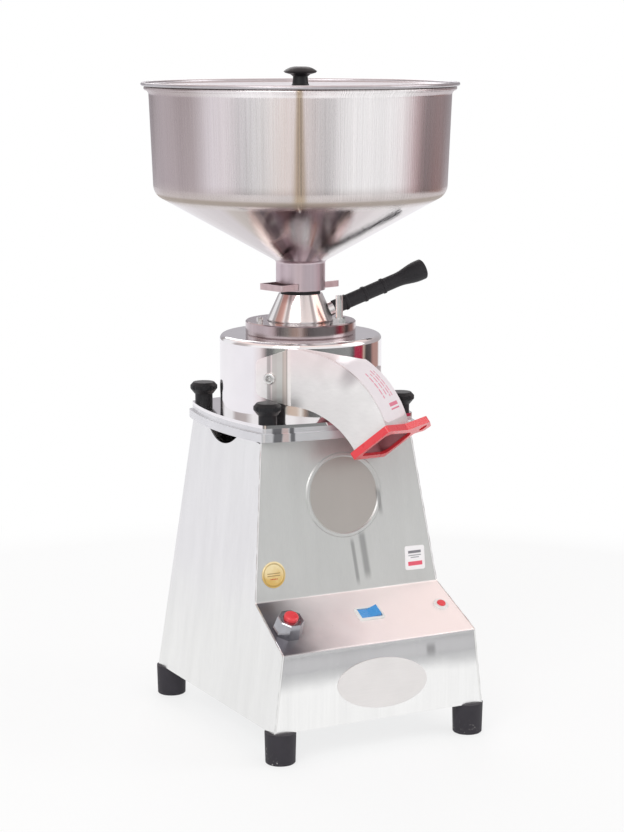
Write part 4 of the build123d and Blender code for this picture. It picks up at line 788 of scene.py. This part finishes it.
# The finish of each of the record's material slots, and of the pieces that have their own
SLOT_FINISHES = {
    "polished_steel": panel_sheet(),
    "chromed_metal": chromed("chromed_metal"),
    "stainless": hopper_steel(),
    "cast_aluminium": turned_aluminium("turned_aluminium"),
    "zinc_sheet": plated("zinc_sheet", (0.62, 0.63, 0.64), rough=0.38),
    "zinc_steel": plated("zinc_fasteners", (0.72, 0.72, 0.71), rough=0.24),
    "steel": plated("ground_steel", (0.55, 0.55, 0.56), rough=0.28),
    "laminations": laminations(),
    "copper": windings(),
    "emery": stone(),
    "black_rubber": rubber("black_rubber", (0.026, 0.025, 0.028), rough=0.55, grain=0.00005),
    "black_plastic": rubber("black_phenolic", (0.014, 0.014, 0.016), rough=0.40, grain=0.00002),
    "red_plastic": plastic("red_plastic", (0.80, 0.045, 0.06)),
    "blue_plastic": plastic("blue_plastic", (0.06, 0.33, 0.74)),
    "white_plastic": plastic("white_plastic", (0.82, 0.82, 0.80)),
}
PIECE_FINISHES = {
    "front_panel": front_sheet(),
    "outlet_chute": chute_steel(),
    # The lid's darker grey and the neck's pink tint are painted reflections on the same brushed steel
    "lid": brushed_round("lid_steel", (0.52, 0.50, 0.52), rough=0.30),
    "hopper_neck": brushed_round("neck_steel", (0.64, 0.54, 0.58), rough=0.34),
    "feed_cone": turned_aluminium("cone_aluminium", warm_reflections=True),
    "grinding_chamber": chromed("chamber_chrome", flanged=True),
    "motor_plate": chromed("plate_chrome", flanged=True),
    "threaded_ring": brushed_round("ring_metal", (0.52, 0.44, 0.45), rough=0.10),
    "feed_gate": plated("gate_steel", (0.66, 0.53, 0.54), rough=0.34),
    "breaker_bezel": plated("bezel_chrome", (0.40, 0.40, 0.43), rough=0.16),
    "rubber_feet": rubber("foot_rubber", (0.036, 0.033, 0.040), rough=0.60, grain=0.00006, dusty=True),
}

for entry in frame["record"]["subparts"]:
    mesh = nodes[entry["node"]].data
    mesh.materials.clear()
    mesh.materials.append(PIECE_FINISHES.get(entry["node"], SLOT_FINISHES[entry["material_slot"]]))


# Modelling


def alone(piece=None):
    """Deselects everything, and makes one piece the selected and active one."""
    if bpy.context.object and bpy.context.object.mode != "OBJECT":
        bpy.ops.object.mode_set(mode="OBJECT")
    bpy.ops.object.select_all(action="DESELECT")
    if piece:
        piece.select_set(True)
        bpy.context.view_layer.objects.active = piece


def choose(piece, test, faces=False):
    """Selects the vertices, or the faces, of the piece in edit mode whose place passes a test."""
    bpy.ops.mesh.select_all(action="DESELECT")
    mesh = bmesh.from_edit_mesh(piece.data)
    if faces:
        bpy.ops.mesh.select_mode(type="FACE")
        for face in mesh.faces:
            face.select_set(test(face.calc_center_median(), face.normal))
    else:
        bpy.ops.mesh.select_mode(type="VERT")
        for vertex in mesh.verts:
            vertex.select_set(test(vertex.co))
    mesh.select_flush_mode()
    bmesh.update_edit_mesh(piece.data)


def start_piece(name):
    """Names the primitive that was just added, and opens it in edit mode."""
    piece = bpy.context.active_object
    piece.name = name
    piece.data.name = name
    bpy.ops.object.mode_set(mode="EDIT")
    bpy.ops.mesh.select_all(action="SELECT")
    return piece


def bevelled(piece, width, segments, angle):
    """Bevels the edges of a piece that turn by more than an angle in degrees."""
    alone(piece)
    bevel = piece.modifiers.new("bevel", "BEVEL")
    bevel.width = width
    bevel.segments = segments
    bevel.limit_method = "ANGLE"
    bevel.angle_limit = radians(angle)
    bpy.ops.object.modifier_apply(modifier="bevel")


def settle(piece, material, body, place=None):
    """Ends a piece: its place goes into its mesh, and it gets its finish, body and slot."""
    alone(piece)
    if place is not None:
        piece.matrix_world = place
    bpy.ops.object.transform_apply(location=True, rotation=True, scale=True)
    bpy.ops.object.shade_smooth_by_angle(angle=radians(32))
    piece.data.materials.clear()
    piece.data.materials.append(material)
    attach(piece, body)


def facing(origin, out, up):
    """A place whose +Z looks out of a face and whose +Y runs up it."""
    out = out.normalized()
    side = up.cross(out).normalized()
    return Matrix.Translation(origin) @ Matrix((side, out.cross(side), out)).transposed().to_4x4()


def upper_front_y(z):
    """Where the leaning upper front lies at a height."""
    return CONSOLE_REAR_Y + (z - CONSOLE_REAR_Z) * tan(UPPER_LEAN)


def on_upper_front(x, z):
    """A place just clear of the leaning upper front."""
    return facing(Vector((x, upper_front_y(z), z)) + UPPER_OUT * CLEAR, UPPER_OUT, UP)


def round_blank(name, sides, width, height):
    """A flat round or oval face, open in edit mode."""
    alone()
    bpy.ops.mesh.primitive_circle_add(vertices=sides, radius=0.5, fill_type="NGON", location=(0, 0, 0))
    piece = start_piece(name)
    bpy.ops.transform.resize(value=(width, height, 1))
    return piece


def square_blank(name, corner, width, height):
    """A flat rectangle with rounded corners, open in edit mode."""
    alone()
    bpy.ops.mesh.primitive_plane_add(size=1.0, location=(0, 0, 0))
    piece = start_piece(name)
    bpy.ops.transform.resize(value=(width, height, 1))
    bpy.ops.mesh.bevel(offset=corner, offset_type="OFFSET", segments=7, affect="VERTICES")
    return piece


def thicken(piece, thickness, edge):
    """Gives a blank its thickness, and draws in its front edge by a small bevel."""
    bpy.ops.mesh.extrude_region_move(TRANSFORM_OT_translate={"value": (0, 0, thickness)})
    bpy.ops.mesh.inset(thickness=edge, depth=0.0)
    bpy.ops.mesh.select_all(action="SELECT")
    bpy.ops.mesh.normals_make_consistent(inside=False)
    bevelled(piece, width=edge * 0.8, segments=2, angle=50)


def oval_plate():
    """The blank oval plate on the lower front, set a little askew."""
    piece = round_blank("oval_plate", sides=64, width=0.0970, height=0.0490)
    thicken(piece, thickness=0.0006, edge=0.0006)
    x, z = PLATE
    place = facing(Vector((x, FRONT_Y, z)) + LOWER_OUT * CLEAR, LOWER_OUT, UP)
    place = place @ Matrix.Rotation(radians(-4.0), 4, "Z")
    settle(piece, plate_satin(), "casing", place)


def gilt_seal():
    """The round gold seal at the left of the upper front."""
    piece = round_blank("round_seal", sides=48, width=0.0250, height=0.0254)
    thicken(piece, thickness=0.0004, edge=0.0003)
    settle(piece, gilt(), "casing", on_upper_front(*SEAL))


def corner_sticker():
    """The small square sticker at the right of the upper front."""
    piece = square_blank("square_sticker", corner=0.0022, width=0.0222, height=0.0236)
    thicken(piece, thickness=0.0003, edge=0.0002)
    place = on_upper_front(*STICKER) @ Matrix.Rotation(radians(-1.5), 4, "Z")
    settle(piece, sticker_paper(), "casing", place)


def on_bend(angle, across, radius=BEND_RADIUS):
    """A point of the chute's outer face, or one nearer to the line that it bends round."""
    place = CHUTE_AHEAD * (BEND_AHEAD + radius * cos(angle)) + CHUTE_ACROSS * across
    return place + Vector((0, AXIS_Y, BEND_Z + radius * sin(angle)))


def row_of(angle):
    """A test for the label's points that lie at one angle of the bend."""
    tolerance = 0.002

    def in_row(at):
        place = at - Vector((0, AXIS_Y, BEND_Z))
        return abs(atan2(place.z, place.dot(CHUTE_AHEAD) - BEND_AHEAD) - angle) < tolerance

    return in_row


def bend_label():
    """The label down the chute's outer face: its cross-section spun round the bend."""
    thickness = 0.0003
    lift = 0.0001
    corner = 0.006
    steps = 56
    near = CHUTE_NEAR + 0.0022
    far = CHUTE_FAR - 0.0010
    width = far - near
    middle = (near + far) / 2
    alone()
    bpy.ops.mesh.primitive_plane_add(size=1.0, location=(0, 0, 0))
    piece = start_piece("chute_label")
    bpy.ops.transform.resize(value=(width, thickness, 1))
    alone(piece)
    start = on_bend(LABEL_LOW, middle, BEND_RADIUS + lift + thickness / 2)
    outwards = CHUTE_AHEAD * cos(LABEL_LOW) + UP * sin(LABEL_LOW)
    axes = Matrix((CHUTE_ACROSS, outwards, CHUTE_ACROSS.cross(outwards))).transposed().to_4x4()
    piece.matrix_world = Matrix.Translation(start) @ axes
    bpy.ops.object.transform_apply(location=True, rotation=True, scale=True)
    bpy.ops.object.mode_set(mode="EDIT")
    bpy.ops.mesh.select_all(action="SELECT")
    turn = LABEL_HIGH - LABEL_LOW
    bpy.ops.mesh.spin(steps=steps, angle=turn, center=on_bend(LABEL_LOW, 0, 0.0), axis=CHUTE_ACROSS)
    # Its corners are rounded: the rows near both ends are drawn in towards the middle
    for row in range(steps + 1):
        angle = LABEL_LOW + turn * row / steps
        from_end = BEND_RADIUS * min(angle - LABEL_LOW, LABEL_HIGH - angle)
        if from_end < corner:
            pulled = corner - sqrt(corner**2 - (corner - from_end) ** 2)
            share = 1 - 2 * pulled / width
            choose(piece, row_of(angle))
            bpy.ops.transform.resize(value=(share, share, share), center_override=on_bend(angle, middle))
    bpy.ops.mesh.select_all(action="SELECT")
    bpy.ops.mesh.normals_make_consistent(inside=False)
    settle(piece, chute_paper(), "casing")


def cross_head(name, place):
    """A pan-head screw with a cross recess: a stepped disc, rounded, with two slots cut in it."""
    radius = 0.0058
    height = 0.0032
    slot_size = (0.0066, 0.0015, 0.0056)
    slot_middle = 0.0034
    alone()
    bpy.ops.mesh.primitive_cylinder_add(vertices=36, radius=radius, depth=height, location=(0, 0, height / 2))
    piece = start_piece(name)
    choose(piece, lambda centre, normal: normal.z > 0.9, faces=True)
    for inset, rise in ((0.0009, 0.00035), (0.0012, 0.0002)):
        bpy.ops.mesh.inset(thickness=inset, depth=rise)
    bevelled(piece, width=0.0009, segments=3, angle=60)
    for turn in (35, 125):
        alone()
        bpy.ops.mesh.primitive_cube_add(size=1.0, rotation=(0, 0, radians(turn)))
        cutter = bpy.context.active_object
        cutter.location = (0, 0, slot_middle)
        cutter.scale = slot_size
        bpy.ops.object.transform_apply(location=True, rotation=True, scale=True)
        alone(piece)
        slot = piece.modifiers.new("slot", "BOOLEAN")
        slot.operation = "DIFFERENCE"
        slot.object = cutter
        bpy.ops.object.modifier_apply(modifier="slot")
        bpy.data.objects.remove(cutter, do_unlink=True)
    settle(piece, SLOT_FINISHES["zinc_steel"], "casing", place)
    return piece


def chute_screw_heads():
    """The heads of the two screws that hold the chute's ears to the drum."""
    lift = 0.00035
    reach = DRUM_RADIUS + EAR_SHEET + lift
    # Each screw's turn round the drum, in degrees, and its height
    for name, turn, height in (("near", -138.4, 0.346), ("far", -52.0, 0.336)):
        out = Vector((cos(radians(turn)), sin(radians(turn)), 0))
        seat = Vector((0, AXIS_Y, height)) + out * reach
        cross_head(f"{name}_screw_head", facing(seat, out, UP))
    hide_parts("chute_screws")


def corner_seam(name, side):
    """The ground weld along one front corner of the casing, a little uneven down its length."""
    step_length = 0.006
    bead_radius = 0.00042
    sunk = 0.0002
    top_z = CASING_TOP_Z - 0.002
    line = (
        (FRONT_Y, FOOT_Z + 0.001),
        (FRONT_Y, CONSOLE_FRONT_Z),
        (CONSOLE_REAR_Y, CONSOLE_REAR_Z),
        (upper_front_y(top_z), top_z),
    )
    points = []
    for (y0, z0), (y1, z1) in zip(line, line[1:]):
        parts = max(2, round(sqrt((y1 - y0) ** 2 + (z1 - z0) ** 2) / step_length))
        for step in range(parts):
            # The first point lies half a step up, clear of the bottom edge
            share = (step + (0 if points else 0.5)) / parts
            points.append((y0 + (y1 - y0) * share, z0 + (z1 - z0) * share))
    points.append(line[-1])
    curve = bpy.data.curves.new(name, "CURVE")
    curve.dimensions = "3D"
    curve.bevel_depth = bead_radius
    curve.bevel_resolution = 2
    curve.use_fill_caps = True
    spline = curve.splines.new("POLY")
    spline.points.add(len(points) - 1)
    for index, (point, (y, z)) in enumerate(zip(spline.points, points)):
        x = side * (SIDE_HALF - (z - FOOT_Z) * SIDE_SLOPE - sunk)
        point.co = (x, y + sunk, z, 1)
        # Two waves out of step make the bead thicker and thinner
        point.radius = 0.8 + 0.35 * sin(index * 2.3) + 0.2 * sin(index * 5.1)
    piece = bpy.data.objects.new(name, curve)
    bpy.context.scene.collection.objects.link(piece)
    alone(piece)
    bpy.ops.object.convert(target="MESH")
    settle(bpy.context.active_object, SLOT_FINISHES["zinc_steel"], "casing")


oval_plate()
gilt_seal()
corner_sticker()
bend_label()
chute_screw_heads()
corner_seam("left_corner_seam", -1)
corner_seam("right_corner_seam", 1)


# Stage: pale floor, white surroundings for the lens, soft bands for polished metal


def floor():
    """A pale floor that keeps the mill's shadow and fades to white round its rim."""
    radius = 0.95
    fade_start, fade_end = 0.50, 0.90
    alone()
    bpy.ops.mesh.primitive_circle_add(vertices=96, radius=radius, fill_type="NGON", location=(0, 0, 0))
    ground = bpy.context.active_object
    ground.name = "floor"
    finish = Finish("floor", Roughness=0.6)
    x, y, z = finish.axes()
    rim = x.reach(y).between(fade_start, fade_end)
    lens = finish.light_path("Is Camera Ray", "Is Transmission Ray")
    mirror = finish.light_path("Is Glossy Ray")
    # The lens and mirrors see it mostly as even white
    finish.set("Base Color", (0.93, 0.93, 0.93))
    glow = finish.node("ShaderNodeEmission", {}, Color=(1, 1, 1), Strength=1.0)
    share = rim.most(lens * 0.72).most(mirror * 0.85)
    mix = finish.node("ShaderNodeMixShader", {}, Fac=share)
    links = finish.tree.links
    links.new(finish.shader.outputs[0], mix.inputs[1])
    links.new(glow.outputs[0], mix.inputs[2])
    links.new(mix.outputs[0], finish.tree.nodes["Material Output"].inputs["Surface"])
    ground.data.materials.append(finish.material)


# What polished metal sees level with it and lower down, by the turn from behind the mill (0)
# past the camera (0.5)
LEVEL_BANDS = (
    (0.00, (0.50, 0.48, 0.51)),
    (0.06, (0.47, 0.45, 0.48)),
    (0.085, (0.34, 0.31, 0.31)),
    (0.115, (0.92, 0.92, 0.95)),
    (0.180, (0.93, 0.93, 0.95)),
    (0.205, (0.50, 0.45, 0.45)),
    (0.265, (0.55, 0.50, 0.50)),
    (0.300, (0.98, 0.97, 0.99)),
    (0.470, (0.99, 0.98, 0.99)),
    (0.500, (0.86, 0.83, 0.84)),
    (0.535, (0.95, 0.94, 0.95)),
    (0.745, (0.97, 0.96, 0.97)),
    (0.780, (0.50, 0.45, 0.46)),
    (0.900, (0.44, 0.40, 0.41)),
    (0.950, (0.48, 0.46, 0.48)),
    (1.00, (0.50, 0.48, 0.51)),
)
LOW_BANDS = (
    (0.00, (0.95, 0.94, 0.97)),
    (0.300, (0.93, 0.91, 0.96)),
    (0.335, (0.85, 0.78, 0.80)),
    (0.352, (0.50, 0.42, 0.43)),
    (0.366, (0.15, 0.15, 0.15)),
    (0.388, (0.17, 0.17, 0.17)),
    (0.402, (0.34, 0.35, 0.33)),
    (0.440, (0.38, 0.39, 0.36)),
    (0.452, (0.60, 0.47, 0.39)),
    (0.485, (0.66, 0.54, 0.46)),
    (0.500, (0.84, 0.80, 0.76)),
    (0.516, (0.38, 0.29, 0.24)),
    (0.534, (0.12, 0.12, 0.12)),
    (0.600, (0.23, 0.24, 0.24)),
    (0.705, (0.27, 0.27, 0.27)),
    (0.724, (0.10, 0.08, 0.09)),
    (0.734, (0.40, 0.03, 0.07)),
    (0.772, (0.36, 0.03, 0.06)),
    (0.781, (0.58, 0.45, 0.38)),
    (0.796, (0.07, 0.06, 0.06)),
    (0.828, (0.11, 0.09, 0.09)),
    (0.846, (0.44, 0.26, 0.23)),
    (0.895, (0.44, 0.28, 0.25)),
    (0.912, (0.94, 0.92, 0.94)),
    (1.00, (0.95, 0.94, 0.97)),
)


def surroundings():
    """The world: grey light on the mill, white to the lens, and bands for polished metal."""
    world = bpy.data.worlds.new("studio")
    bpy.context.scene.world = world
    world.use_nodes = True
    tree = world.node_tree
    tree.nodes.clear()
    room = Nodes(tree, "Generated")
    x, y, z = room.axes()
    turned = Matrix.Rotation(-atan2(CAMERA_PLACE.y, CAMERA_PLACE.x), 3, "Z")
    along = x * turned[0][0] + y * turned[0][1]
    across = x * turned[1][0] + y * turned[1][1]
    azimuth = across.angle(along) / (2 * pi) + 0.5
    low = room.ramp(azimuth, LOW_BANDS)
    level = room.ramp(azimuth, LEVEL_BANDS)
    seen = room.blend(z.between(-0.100, -0.070), low, level)
    # A pinkish white stands overhead, and white again under the low bands
    seen = room.blend(z.between(0.30, 0.75), seen, (1.0, 0.84, 0.81))
    seen = room.blend(1 - z.between(-0.27, -0.225), seen, (0.97, 0.96, 0.97))
    colour = room.blend(room.light_path("Is Glossy Ray"), (0.66, 0.66, 0.66), seen)
    colour = room.blend(room.light_path("Is Camera Ray", "Is Transmission Ray"), colour, (1, 1, 1))
    background = room.node("ShaderNodeBackground", {}, Color=colour, Strength=1.0)
    output = room.node("ShaderNodeOutputWorld", {})
    tree.links.new(background.outputs[0], output.inputs["Surface"])


def soft_light(name, place, aim, size, power):
    """A rectangular lamp that looks from its place at its aim."""
    lamp = bpy.data.lights.new(name, "AREA")
    lamp.shape = "RECTANGLE"
    lamp.size = size[0]
    lamp.size_y = size[1]
    lamp.energy = power
    holder = bpy.data.objects.new(name, lamp)
    holder.location = place
    holder.rotation_mode = "QUATERNION"
    holder.rotation_quaternion = (Vector(aim) - Vector(place)).to_track_quat("-Z", "Y")
    bpy.context.scene.collection.objects.link(holder)


floor()
surroundings()
soft_light("key", place=(-1.9, -1.6, 2.0), aim=(0, 0, 0.35), size=(1.6, 1.6), power=28)
soft_light("fill", place=(2.2, -1.2, 1.6), aim=(0, 0, 0.35), size=(1.4, 1.8), power=14)
soft_light("back", place=(0.6, 2.2, 1.8), aim=(0, 0, 0.4), size=(1.8, 1.2), power=12)
